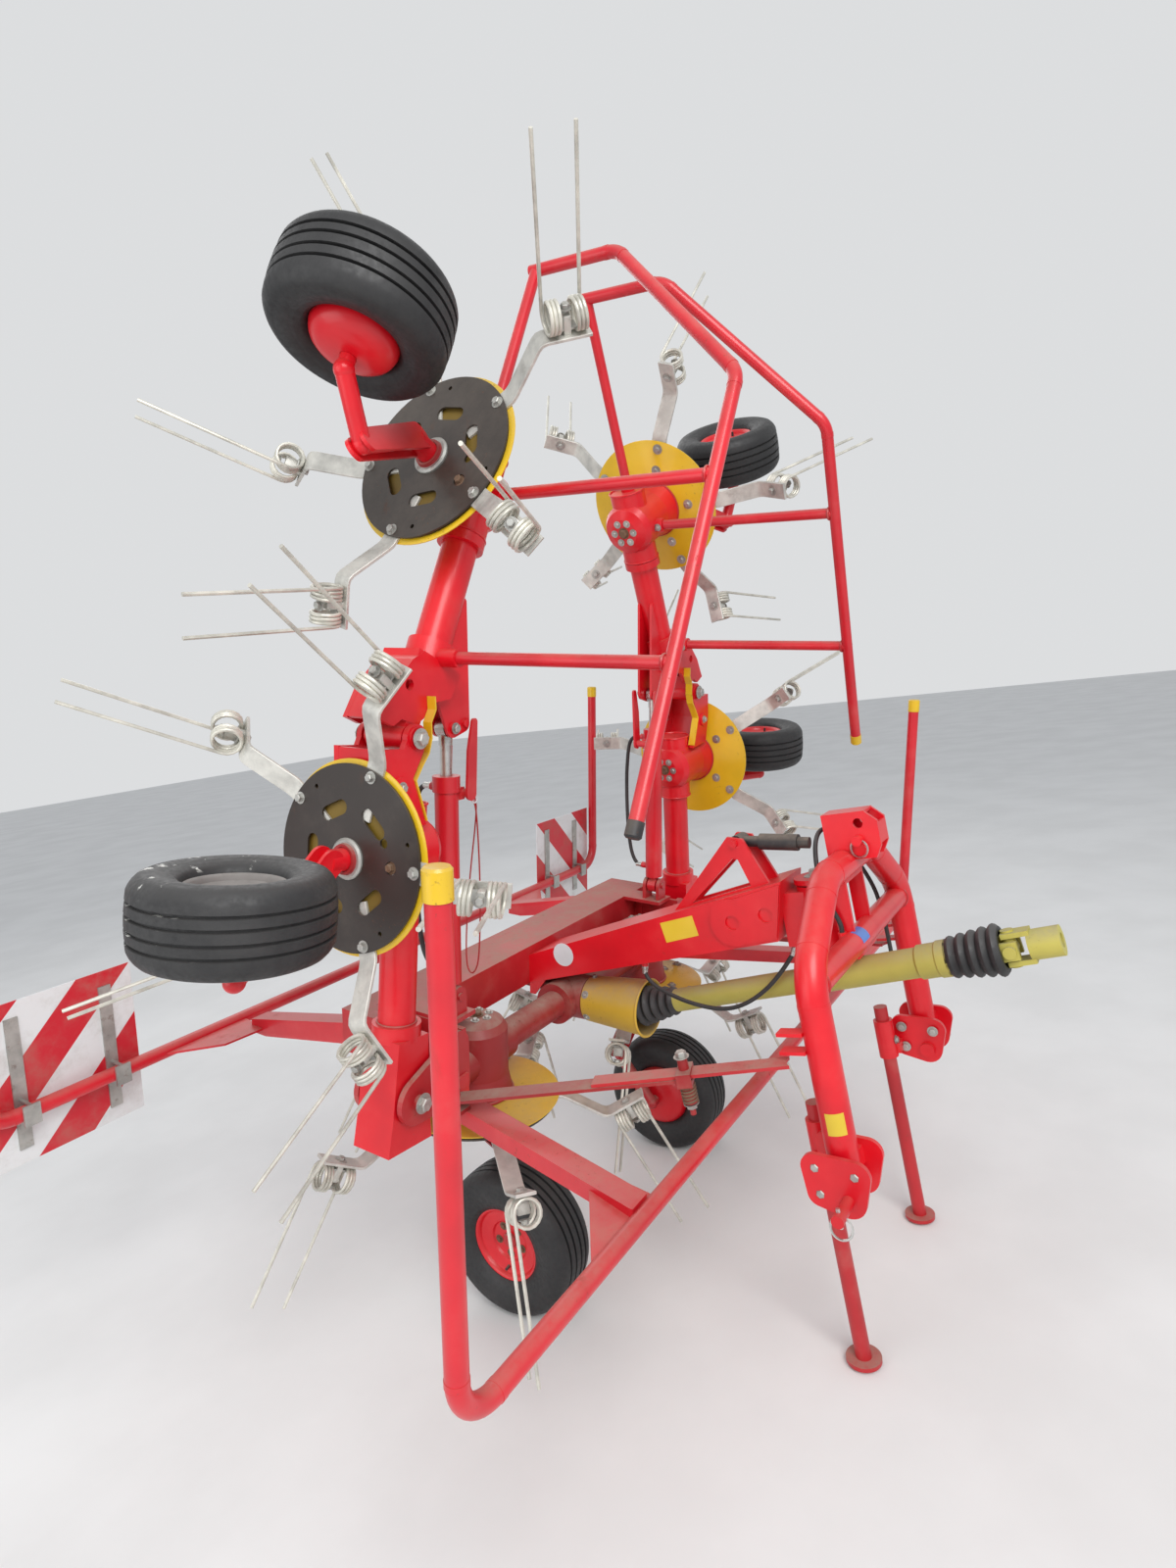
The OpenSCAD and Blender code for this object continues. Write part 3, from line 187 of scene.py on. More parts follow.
class Shader:
    """A procedural material. Its patterns follow the object's own space, so they move with the piece."""

    def __init__(self, name):
        self.material = bpy.data.materials.new(name)
        self.material.use_nodes = True
        self.nodes, self.links = self.material.node_tree.nodes, self.material.node_tree.links
        self.nodes.clear()
        self.body = self.nodes.new("ShaderNodeBsdfPrincipled")
        out = self.nodes.new("ShaderNodeOutputMaterial")
        self.links.new(self.body.outputs[0], out.inputs[0])
        self.coord = self.nodes.new("ShaderNodeTexCoord")

    def put(self, socket, value):
        if isinstance(value, bpy.types.NodeSocket):
            self.links.new(value, socket)
        else:
            socket.default_value = value

    def noise(self, scale, detail=4.0, roughness=0.55, stretch=(1, 1, 1)):
        mapping = self.nodes.new("ShaderNodeMapping")
        self.links.new(self.coord.outputs["Object"], mapping.inputs["Vector"])
        mapping.inputs["Scale"].default_value = stretch
        node = self.nodes.new("ShaderNodeTexNoise")
        self.links.new(mapping.outputs[0], node.inputs["Vector"])
        node.inputs["Scale"].default_value = scale
        node.inputs["Detail"].default_value = detail
        node.inputs["Roughness"].default_value = roughness
        return node.outputs[0]

    def remap(self, value, low, high, start=0.0, end=1.0):
        node = self.nodes.new("ShaderNodeMapRange")
        node.interpolation_type = "SMOOTHSTEP"
        for key, entry in zip((0, 1, 2, 3, 4), (value, low, high, start, end)):
            self.put(node.inputs[key], entry)
        return node.outputs[0]

    def math(self, operation, a, b=0.0):
        node = self.nodes.new("ShaderNodeMath")
        node.operation = operation
        self.put(node.inputs[0], a)
        self.put(node.inputs[1], b)
        return node.outputs[0]

    def times(self, *values):
        result = values[0]
        for value in values[1:]:
            result = self.math("MULTIPLY", result, value)
        return result

    def mix(self, amount, a, b):
        node = self.nodes.new("ShaderNodeMix")
        node.data_type = "RGBA"
        self.put(node.inputs[0], amount)
        self.put(node.inputs[6], a)
        self.put(node.inputs[7], b)
        return node.outputs[2]

    def facing_up(self, low, high):
        split = self.nodes.new("ShaderNodeSeparateXYZ")
        self.links.new(self.coord.outputs["Normal"], split.inputs[0])
        return self.remap(split.outputs[2], low, high)

    def place(self, axis):
        split = self.nodes.new("ShaderNodeSeparateXYZ")
        self.links.new(self.coord.outputs["Object"], split.inputs[0])
        return split.outputs[axis]

    def bump(self, height, distance, strength=0.5):
        node = self.nodes.new("ShaderNodeBump")
        node.inputs["Strength"].default_value = strength
        node.inputs["Distance"].default_value = distance
        self.put(node.inputs["Height"], height)
        self.links.new(node.outputs[0], self.body.inputs["Normal"])

    def surface(self, colour, roughness, metallic=0.0, coat=0.0):
        self.put(self.body.inputs["Base Color"], colour)
        self.put(self.body.inputs["Roughness"], roughness)
        self.put(self.body.inputs["Metallic"], metallic)
        self.put(self.body.inputs["Coat Weight"], coat)
        self.body.inputs["Coat Roughness"].default_value = 0.12
        return self.material


def tone(colour, factor):
    return tuple(min(1.0, c * factor) for c in colour[:3]) + (1,)


def paint(name, colour, dust=0.4, rust=0.3, rough=0.3, coat=0.3, dust_colour=DUST):
    """Paint with slow changes of shade, dust on what faces up, a thin film elsewhere and rusty chips."""
    s = Shader(name)
    shade = s.mix(s.remap(s.noise(3.5), 0.3, 0.7), tone(colour, 0.80), tone(colour, 1.06))
    fine = s.noise(60, 6, 0.65)
    settled = s.times(s.facing_up(0.1, 0.9), s.remap(s.noise(14, 5), 0.25, 0.7, 0.45, 1.0))
    film = s.remap(s.noise(7, 5, 0.6), 0.5, 0.8, 0.0, 0.4)
    dusty = s.times(s.math("MAXIMUM", settled, film), s.remap(fine, 0.25, 0.6, 0.6, 1.0), dust)
    chips = s.times(s.remap(s.noise(95, 7, 0.7), 0.60, 0.66), s.remap(s.noise(6, 3), 0.52, 0.62), rust)
    stain = s.times(s.remap(s.noise(9, 6, 0.7, (1, 1, 0.35)), 0.60, 0.75), rust, 0.6)
    worn = s.math("MAXIMUM", chips, stain)
    colour_out = s.mix(worn, s.mix(dusty, shade, dust_colour), RUST)
    dull = s.math("MINIMUM", s.math("ADD", dusty, worn), 1.0)
    s.bump(s.math("SUBTRACT", s.times(fine, 0.5), worn), 0.0008)
    return s.surface(colour_out, s.remap(dull, 0.0, 1.0, rough, 0.85), 0.0, s.remap(dull, 0.0, 0.6, coat, 0.0))


def steel(name, colour, rough=0.45, metallic=0.7, spots=0.4, spot_colour=RUST, scale=40, dust=0.25):
    s = Shader(name)
    cloud = s.noise(16, 6, 0.65)
    shade = s.mix(s.remap(cloud, 0.3, 0.7), tone(colour, 0.72), tone(colour, 1.1))
    spotted = s.times(s.remap(s.noise(scale, 7, 0.7), 0.56, 0.68), spots)
    settled = s.times(s.facing_up(0.1, 0.9), dust)
    out = s.mix(settled, s.mix(spotted, shade, spot_colour), DUST)
    s.bump(s.noise(220, 4), 0.0004)
    return s.surface(out, s.remap(cloud, 0.2, 0.8, rough - 0.08, rough + 0.2), metallic)


def striped(name):
    """Red and white warning stripes that fall outward on both sides, faded and dirty."""
    s = Shader(name)
    across = s.math("ADD", s.math("ABSOLUTE", s.place(0)), s.place(2))
    wave = s.math("FRACT", s.math("DIVIDE", across, STRIPE_PITCH))
    edge = s.remap(s.math("ABSOLUTE", s.math("SUBTRACT", wave, 0.5)), 0.247, 0.253)
    base = s.mix(edge, (0.62, 0.015, 0.03, 1), (0.78, 0.80, 0.80, 1))
    dirt = s.times(s.remap(s.noise(11, 7, 0.7), 0.42, 0.75), 0.35)
    s.bump(s.noise(120, 3), 0.0003)
    return s.surface(s.mix(dirt, base, DUST), s.remap(dirt, 0.0, 0.35, 0.32, 0.75))


def rubber(name, droppings=0.0, dust=0.5):
    s = Shader(name)
    grain = s.noise(90, 6, 0.65)
    base = s.mix(s.remap(s.noise(5, 4), 0.3, 0.7), (0.008, 0.008, 0.009, 1), (0.017, 0.017, 0.018, 1))
    film = s.times(s.remap(s.noise(8, 6, 0.6), 0.35, 0.75, 0.05, 0.4), dust)
    settled = s.times(s.facing_up(0.2, 0.95), dust, 0.7)
    out = s.mix(s.math("MAXIMUM", film, settled), base, (0.13, 0.125, 0.12, 1))
    near_side = s.remap(s.place(1), -0.02, 0.10)
    splats = s.times(s.remap(s.noise(24, 5, 0.6), 0.60, 0.66), s.facing_up(0.3, 0.7), near_side, droppings)
    out = s.mix(splats, out, (0.72, 0.71, 0.66, 1))
    s.bump(grain, 0.0008)
    return s.surface(out, s.remap(grain, 0.2, 0.8, 0.42, 0.70))


red = paint("red_paint", (0.74, 0.004, 0.014, 1), 0.22, 0.25, 0.34, 0.12)
red_dull = paint("red_paint_dusty", (0.50, 0.016, 0.022, 1), 0.70, 0.6, 0.42, 0.1)
red_tube = paint("red_paint_tube", (0.66, 0.010, 0.022, 1), 0.40, 0.55, 0.34, 0.2)
red_old = paint("red_paint_old", (0.33, 0.016, 0.018, 1), 0.75, 0.9, 0.5, 0.05)
yellow = paint("yellow_paint", (0.82, 0.52, 0.012, 1), 0.35, 0.5, 0.32, 0.3)
yellow_dull = paint("yellow_dusty", (0.66, 0.42, 0.035, 1), 0.65, 0.5, 0.5, 0.0)
plate_black = paint("plate_black", (0.030, 0.022, 0.018, 1), 0.30, 0.7, 0.38, 0.1)
black = paint("black_paint", (0.022, 0.022, 0.024, 1), 0.55, 0.3, 0.5, 0.0)
zinc = steel("zinc", (0.50, 0.50, 0.47, 1))
tine = steel("tine_steel", (0.70, 0.68, 0.60, 1), 0.38, 0.45, 0.4, (0.22, 0.17, 0.11, 1), 6, 0.1)
arm_steel = steel("arm_steel", (0.66, 0.65, 0.60, 1), 0.42, 0.5, 0.35, (0.24, 0.19, 0.14, 1), 10, 0.2)
bright = steel("bright_steel", (0.60, 0.60, 0.58, 1), 0.25, 0.95, 0.15)
rusty = steel("rusty_steel", (0.22, 0.13, 0.08, 1), 0.7, 0.4, 0.8)
boards = striped("warning_stripes")
tyre_black = rubber("tyre_rubber", 0.0, 0.3)
# Painted shade with some real dirt: a darkened yellow with brown-black patches (passed as its dust colour) for the
# yellow disc's underside, which lies in shade behind the lower plate's slots
painted_shade_underside = paint("plate_underside_painted_shade", (0.20, 0.125, 0.012, 1), 0.3, 1.0, 0.6, 0.0, (0.05, 0.04, 0.03, 1))
tyre_soiled = rubber("tyre_rubber_soiled", 0.9, 0.5)
hose_black = rubber("hose_rubber", 0.0, 0.5)
bellows_black = rubber("bellows_plastic", 0.0, 0.7)
tube_plastic = paint("tube_plastic", (0.50, 0.44, 0.085, 1), 0.75, 0.25, 0.5, 0.0, (0.36, 0.33, 0.20, 1))
cord_red = paint("cord_fibre", (0.42, 0.02, 0.02, 1), 0.3, 0.0, 0.8, 0.0)
label_white = paint("label_white", (0.74, 0.78, 0.80, 1), 0.25, 0.0, 0.3, 0.2)
label_yellow = paint("label_yellow", (0.80, 0.56, 0.03, 1), 0.2, 0.0, 0.3, 0.2)
label_blue = paint("label_blue", (0.06, 0.20, 0.62, 1), 0.2, 0.0, 0.3, 0.2)
rim_dusty = paint("rim_dusty", (0.17, 0.15, 0.14, 1), 0.85, 0.5, 0.6, 0.0, (0.30, 0.28, 0.26, 1))

# Shapes: each gives its points and its faces, closed and facing out


def tube(points, radius, sides=10):
    points = [Vector(p) for p in points]
    radii = radius if isinstance(radius, list) else [radius] * len(points)
    last = len(points) - 1
    verts, faces = [], []
    side = None
    for i, (point, r) in enumerate(zip(points, radii)):
        heading = (points[min(i + 1, last)] - points[max(i - 1, 0)]).normalized()
        side = heading.orthogonal() if side is None else side
        side = (side - heading * side.dot(heading)).normalized()
        up = heading.cross(side)
        for k in range(sides):
            a = 2 * math.pi * k / sides
            verts.append(point + (side * math.cos(a) + up * math.sin(a)) * r)
    for i in range(last):
        for k in range(sides):
            n = (k + 1) % sides
            faces.append((i * sides + k, i * sides + n, (i + 1) * sides + n, (i + 1) * sides + k))
    faces.append(tuple(range(sides - 1, -1, -1)))
    faces.append(tuple(last * sides + k for k in range(sides)))
    return verts, faces


def lathe(profile, segments=32, closed=False):
    """Turns (radius, height) points about z. The profile runs upward on its outer side."""
    verts, faces, rings = [], [], []
    for r, z in profile:
        count = 1 if r < 1e-6 else segments
        rings.append([len(verts) + k for k in range(count)])
        for k in range(count):
            a = 2 * math.pi * k / segments
            verts.append(Vector((r * math.cos(a), r * math.sin(a), z)))
    pairs = list(zip(rings, rings[1:])) + ([(rings[-1], rings[0])] if closed else [])
    for low, high in pairs:
        for k in range(segments):
            n = (k + 1) % segments
            quad = [low[k % len(low)], low[n % len(low)], high[n % len(high)], high[k % len(high)]]
            faces.append(tuple(dict.fromkeys(quad)))
    return verts, faces


def prism(outline, thickness, holes=()):
    """A flat plate in the x-y plane, centred on it, with holes through it."""
    loops = []
    for i, loop in enumerate([outline, *holes]):
        area = sum(a[0] * b[1] - b[0] * a[1] for a, b in zip(loop, loop[1:] + loop[:1]))
        loops.append(list(loop) if (area > 0) == (i == 0) else list(loop)[::-1])
    flat = [Vector((p[0], p[1], 0)) for loop in loops for p in loop]
    count = len(flat)
    half = Vector((0, 0, thickness / 2))
    verts = [p - half for p in flat] + [p + half for p in flat]
    faces = []
    for tri in tessellate_polygon([[Vector((p[0], p[1], 0)) for p in loop] for loop in loops]):
        a, b, c = (flat[i] for i in tri)
        tri = tuple(tri) if (b - a).cross(c - a).z > 0 else tuple(tri)[::-1]
        faces.append(tri[::-1])
        faces.append(tuple(i + count for i in tri))
    start = 0
    for loop in loops:
        for i in range(len(loop)):
            a, b = start + i, start + (i + 1) % len(loop)
            faces.append((a, b, b + count, a + count))
        start += len(loop)
    return verts, faces


def circle(x, y, r, count=24):
    return [(x + r * math.cos(2 * math.pi * k / count), y + r * math.sin(2 * math.pi * k / count))
            for k in range(count)]


def slot_outline(x, y, half_x, half_y, turn, count=8):
    """A slot with round ends, long in y, turned about the origin."""
    points = []
    for end, start in ((1, 0), (-1, math.pi)):
        for k in range(count + 1):
            a = start + math.pi * k / count
            points.append((x + half_x * math.cos(a), y + end * (half_y - half_x) + half_x * math.sin(a)))
    c, d = math.cos(math.radians(turn)), math.sin(math.radians(turn))
    return [(px * c - py * d, px * d + py * c) for px, py in points]


def block(size, bevel=0.002):
    mesh = bmesh.new()
    bmesh.ops.create_cube(mesh, size=1)
    for vert in mesh.verts:
        vert.co = Vector((vert.co.x * size[0], vert.co.y * size[1], vert.co.z * size[2]))
    bmesh.ops.bevel(mesh, geom=list(mesh.edges), offset=bevel, segments=2, profile=0.5, affect="EDGES")
    mesh.verts.index_update()
    shape = [v.co.copy() for v in mesh.verts], [tuple(v.index for v in f.verts) for f in mesh.faces]
    mesh.free()
    return shape


def ribbon(path, width, thickness, bevel=0.0012):
    """A flat bar with eased edges that follows a path in the x-z plane."""
    verts, faces = [], []
    w, t = width / 2, thickness / 2
    section = [(w, -t + bevel), (w, t - bevel), (w - bevel, t), (bevel - w, t), (-w, t - bevel), (-w, bevel - t),
               (bevel - w, -t), (w - bevel, -t)]
    last = len(path) - 1
    for i, (x, z) in enumerate(path):
        before = Vector(path[i]) - Vector(path[i - 1]) if i else Vector(path[1]) - Vector(path[0])
        after = Vector(path[i + 1]) - Vector(path[i]) if i < last else before
        before, after = before.normalized(), after.normalized()
        normal = Vector((-before.y - after.y, before.x + after.x))
        normal /= normal.dot(Vector((-before.y, before.x)))
        for y, n in section:
            verts.append(Vector((x + normal.x * n, y, z + normal.y * n)))
    size = len(section)
    for i in range(last):
        for k in range(size):
            n = (k + 1) % size
            faces.append((i * size + k, (i + 1) * size + k, (i + 1) * size + n, i * size + n))
    faces.append(tuple(range(size)))
    faces.append(tuple(last * size + k for k in range(size - 1, -1, -1)))
    return verts, faces


def joined(*shapes):
    verts, faces = [], []
    for more_verts, more_faces in shapes:
        base = len(verts)
        verts += more_verts
        faces += [tuple(base + i for i in face) for face in more_faces]
    return verts, faces


def placed(shape, matrix):
    return [matrix @ v for v in shape[0]], shape[1]


def bolt(r=0.009, h=0.007, washer=1.7):
    """A hexagon head on a washer, standing on z = 0."""
    head = lathe([(0, 0.001), (r, 0.001), (r, h), (r * 0.82, h + r * 0.16), (0, h + r * 0.16)], 6)
    ring = lathe([(0, 0), (r * washer, 0), (r * washer, 0.0016), (0, 0.0016)], 20)
    return joined(placed(head, turned("Z", 17)), ring)


def ring(r, thick, count=28, sides=8):
    """A round ring about z, such as a weld bead or a lynch pin's loop."""
    profile = [(r + thick * math.cos(2 * math.pi * k / sides), thick * math.sin(2 * math.pi * k / sides))
               for k in range(sides)]
    return lathe(profile, count, closed=True)


def helix(r, wire, pitch, turns, sides=6, per_turn=14):
    points = []
    for i in range(int(turns * per_turn) + 1):
        a = 2 * math.pi * i / per_turn
        points.append((r * math.cos(a), r * math.sin(a), pitch * i / per_turn))
    return tube(points, wire, sides)


def smooth_route(points, steps=3):
    """Points on a smooth curve through the given ones."""
    points = [Vector(p) for p in points]
    padded = [points[0] * 2 - points[1]] + points + [points[-1] * 2 - points[-2]]
    out = []
    for a, b, c, d in zip(padded, padded[1:], padded[2:], padded[3:]):
        for k in range(steps):
            t = k / steps
            out.append(((b * 2) + (c - a) * t + (a * 2 - b * 5 + c * 4 - d) * t * t
                        + (b * 3 - a - c * 3 + d) * t ** 3) / 2)
    return out + [points[-1]]


class Piece:
    """Collects shapes, then makes one object that rides on a body."""

    def __init__(self, name, body, slot, replaces=()):
        self.name, self.body, self.slot, self.replaces = name, body, slot, replaces
        self.verts, self.faces, self.finish, self.materials = [], [], [], []

    def add(self, shape, material, place=Matrix()):
        if material not in self.materials:
            self.materials.append(material)
        index = self.materials.index(material)
        base = len(self.verts)
        mirrored = place.determinant() < 0
        self.verts += [place @ v for v in shape[0]]
        for face in shape[1]:
            face = tuple(base + i for i in face)
            self.faces.append(face[::-1] if mirrored else face)
            self.finish.append(index)

    def done(self, sharp=32):
        mesh = bpy.data.meshes.new(self.name)
        mesh.from_pydata(self.verts, [], self.faces)
        for material in self.materials:
            mesh.materials.append(material)
        mesh.polygons.foreach_set("material_index", self.finish)
        mesh.polygons.foreach_set("use_smooth", [True] * len(self.faces))
        mesh.set_sharp_from_angle(angle=math.radians(sharp))
        mesh.update()
        piece = bpy.data.objects.new(self.name, mesh)
        bpy.context.scene.collection.objects.link(piece)
        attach(piece, self.body)
        if self.replaces:
            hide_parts(*self.replaces)
        return piece


# Hoses and the pull cord: their routes are those of the solids, in metres

RAM_HOSE_ROUTE = [
    (0, .048, .545), (0, .064, .545), (0, .082, .538), (0, .095, .520), (0, .102, .488), (0, .106, .450),
    (0, .109, .410), (0, .110, .365), (0, .110, .320), (0, .109, .275), (0, .107, .232), (0, .104, .190),
    (0, .099, .150), (0, .092, .115), (0, .080, .086), (0, .064, .070), (0, .048, .070)]
BOOM_HOSE_ROUTE = [
    (-.056, -.300, .890), (-.056, -.300, .873), (-.061, -.314, .854), (-.066, -.338, .841), (-.072, -.370, .833),
    (-.078, -.405, .828), (-.082, -.440, .824), (-.084, -.478, .822), (-.084, -.515, .822), (-.083, -.552, .826),
    (-.081, -.588, .837), (-.076, -.622, .856), (-.070, -.652, .881), (-.062, -.680, .912), (-.053, -.704, .948),
    (-.045, -.724, .985), (-.041, -.736, 1.012), (-.040, -.741, 1.030)]
HEAD_HOSE_ROUTE = [
    (-.087, -.070, -.028), (-.087, -.070, -.010), (-.088, -.063, .016), (-.090, -.049, .050), (-.090, -.041, .090),
    (-.088, -.038, .128), (-.080, -.037, .164), (-.060, -.036, .196), (-.028, -.035, .214), (.010, -.035, .219),
    (.048, -.035, .212), (.086, -.035, .195), (.124, -.035, .172), (.162, -.035, .145), (.200, -.036, .115),
    (.238, -.038, .082), (.270, -.040, .048), (.298, -.043, .012), (.320, -.046, -.026), (.336, -.047, -.066),
    (.346, -.048, -.108), (.351, -.048, -.152), (.353, -.048, -.200), (.353, -.048, -.250)]
PULL_ROUTE = [
    (-.0543, -.041, .5107), (-.064, -.042, .480), (-.070, -.043, .400), (-.073, -.044, .300), (-.074, -.043, .200),
    (-.072, -.039, .100), (-.070, -.032, .058), (-.068, -.020, .040), (-.068, -.008, .044), (-.069, .001, .070),
    (-.072, .003, .140), (-.076, -.002, .240), (-.079, -.012, .340), (-.078, -.026, .430), (-.070, -.038, .490),
    (-.0605, -.041, .515)]


def cord_piece(name, node, body, slot, route, place, diameter, material, extras=()):
    path = [place @ p for p in smooth_route(route)]
    piece = Piece(name, body, slot, (node,))
    piece.add(tube(path, diameter / 2, 12 if diameter > 0.006 else 8), material)
    made = piece.done(60)
    return made


def ferrule(r=0.0095, length=0.032):
    return lathe([(0, 0), (r * 0.8, 0), (r * 0.8, 0.004), (r, 0.006), (r, length * 0.5), (r * 0.86, length * 0.55),
                  (r * 0.86, length), (0, length)], 12)


for word, s in SIDES:
    fittings = Piece(f"hose_fittings_{word}", f"ram_barrel_{word}", "bright_steel")
    for z in RAM_PORTS:
        fittings.add(ferrule(), bright, RAM[word] @ aimed((0, PORT_Y + 0.0135, z), (0, 1, 0)))
        fittings.add(bolt(0.011, 0.009, 1.05), zinc, RAM[word] @ aimed((0, PORT_Y, z), (0, 1, 0)))
    cord_piece(f"cylinder_hose_{word}", f"ram_hose_{word}", f"ram_barrel_{word}", "hose_rubber", RAM_HOSE_ROUTE,
               RAM[word], 0.013, hose_black, [fittings.done()])

boom_fittings = Piece("boom_hose_fittings", "frame", "bright_steel")
boom_fittings.add(ferrule(0.009, 0.03), bright, LEVEL @ aimed((-.056, -.300, .896), (0, 0, -1)))
boom_fittings.add(ferrule(0.009, 0.03), bright, LEVEL @ aimed((-.040, -.7425, 1.034), (-0.05, 0.28, -1)))
cord_piece("boom_hose_rubber", "boom_hose", "frame", "hose_rubber", BOOM_HOSE_ROUTE, LEVEL, 0.012, hose_black,
           [boom_fittings.done()])

coupler = Piece("hose_coupler", "headstock", "bright_steel")
coupler.add(lathe([(0, -.042), (.0075, -.042), (.0075, -.030), (.0105, -.028), (.0105, -.010), (.009, -.008),
                   (.009, -.003), (.0115, 0), (.0115, .012), (.008, .014), (.008, .022), (0, .022)], 16), bright,
            HEAD @ moved(.353, -.048, -.250))
cord_piece("head_hose_rubber", "head_hose", "headstock", "hose_rubber", HEAD_HOSE_ROUTE, HEAD, 0.012, hose_black,
           [coupler.done()])

eye = Piece("pull_cord_eye", "ram_barrel_right", "cord_fibre")
eye.add(ring(0.008, 0.003, 18, 6), label_white, RAM["right"] @ aimed((-.060, -.0405, .509), (0, 1, 0)))
cord_piece("pull_cord_fibre", "pull_cord", "ram_barrel_right", "cord_fibre", PULL_ROUTE, RAM["right"], 0.004,
           cord_red, [eye.done()])

# Finishes of the solids that stay

FINISHES = {
    "cross_beam": red_dull, "boom": red, "centre_drive": red_old, "wheel_legs": red_dull, "front_guard": red_tube,
    "rear_guard": red_tube, "warning_boards": boards, "board_brackets": zinc, "strut_bars": red_old,
    "swivel_damper": black, "pto_cone": yellow_dull, "pto_yoke": tube_plastic, "headstock": red, "link_box": red,
}
for word, _ in SIDES:
    FINISHES.update({
        f"stand_{word}": red_dull, f"strut_slide_{word}": red_dull, f"wing_inner_{word}": red,
        f"wing_outer_{word}": red, f"hoop_{word}": red_tube, f"hinge_guard_{word}": yellow,
        f"ram_barrel_{word}": red_tube, f"ram_rod_{word}": bright,
    })
for name, finish in FINISHES.items():
    node = frame["nodes"][name]
    if not node.material_slots:
        node.data.materials.append(finish)
    for entry in node.material_slots:
        entry.material = finish

# Rotors


def tine_path():
    """One wire: leg, coil, bridge under the clamp, coil, leg."""
    outer, inner = COIL_GAP / 2 + COIL_W - WIRE_R, COIL_GAP / 2 + WIRE_R
    half = [Vector((outer, COIL_R, -TINE_LEN)), Vector((outer, COIL_R, -TINE_LEN * 0.66)),
            Vector((outer, COIL_R, -TINE_LEN * 0.33)), Vector((outer, COIL_R, -0.012))]
    turns, steps = 3.25, 52
    for i in range(steps + 1):
        a = 2 * math.pi * turns * i / steps
        x = outer + (inner - outer) * i / steps
        half.append(Vector((x, COIL_R * math.cos(a), COIL_R * math.sin(a))))
    return half + [Vector((-p.x, p.y, p.z)) for p in reversed(half)]


TINE_SHAPE = tube(tine_path(), WIRE_R, 8)


def bent(points, ease):
    """Rounds the inner corners of a path by three points each."""
    out = [points[0]]
    for a, b, c in zip(points, points[1:], points[2:]):
        a, b, c = Vector(a), Vector(b), Vector(c)
        p, q = b + (a - b).normalized() * ease, b + (c - b).normalized() * ease
        out += [tuple(p), tuple((p + b * 2 + q) / 4), tuple(q)]
    return out + [points[-1]]


ARM_PATH = bent([
    (ARM_ROOT, 0), (DISC_R + 0.008, 0), (ARM_BEND_R, -ARM_BEND_DROP),
    (ARM_BEND_R + ARM_END * math.cos(math.radians(TINE_LEAN)),
     -ARM_BEND_DROP + ARM_END * math.sin(math.radians(TINE_LEAN)))], 0.014)
ARM_SHAPE = ribbon(ARM_PATH, ARM_W, ARM_T)
BOLT_RADII = (0.197, 0.128)
DISC_PROFILE = [
    (0, 0), (DISC_R - 0.004, 0), (DISC_R, 0.0015), (DISC_R, DISC_T - 0.001), (DISC_R - 0.002, DISC_T),
    (0.190, DISC_T), (0.186, DISC_T + 0.002), (0.104, DISC_T + 0.002), (0.100, DISC_T + 0.004),
    (0, DISC_T + 0.004)]
# A thin sheet just under the yellow disc that carries the painted shade of its underside
DISC_SHADE_SHEET = [(0, -0.0008), (PLATE_R - 0.004, -0.0008), (PLATE_R - 0.004, 0), (0, 0)]
SEAL_BORE = 0.0275
SEAL = lathe([(SEAL_BORE, 0), (0.047, 0), (0.047, 0.004), (0.042, 0.008), (SEAL_BORE, 0.008)], 32, True)
COLLAR = lathe([(SEAL_BORE, 0.008), (0.036, 0.008), (0.034, 0.016), (SEAL_BORE, 0.016)], 32, True)
CLAMP, CLAMP_BAR = block((COIL_GAP - 0.003, 0.030, COIL_SEAT + 0.004)), block((0.046, 0.026, 0.005), 0.001)
BOLT, NUT, SMALL_BOLT = bolt(0.0095, 0.008), bolt(0.0095, 0.010, 1.5), bolt(0.007, 0.006)

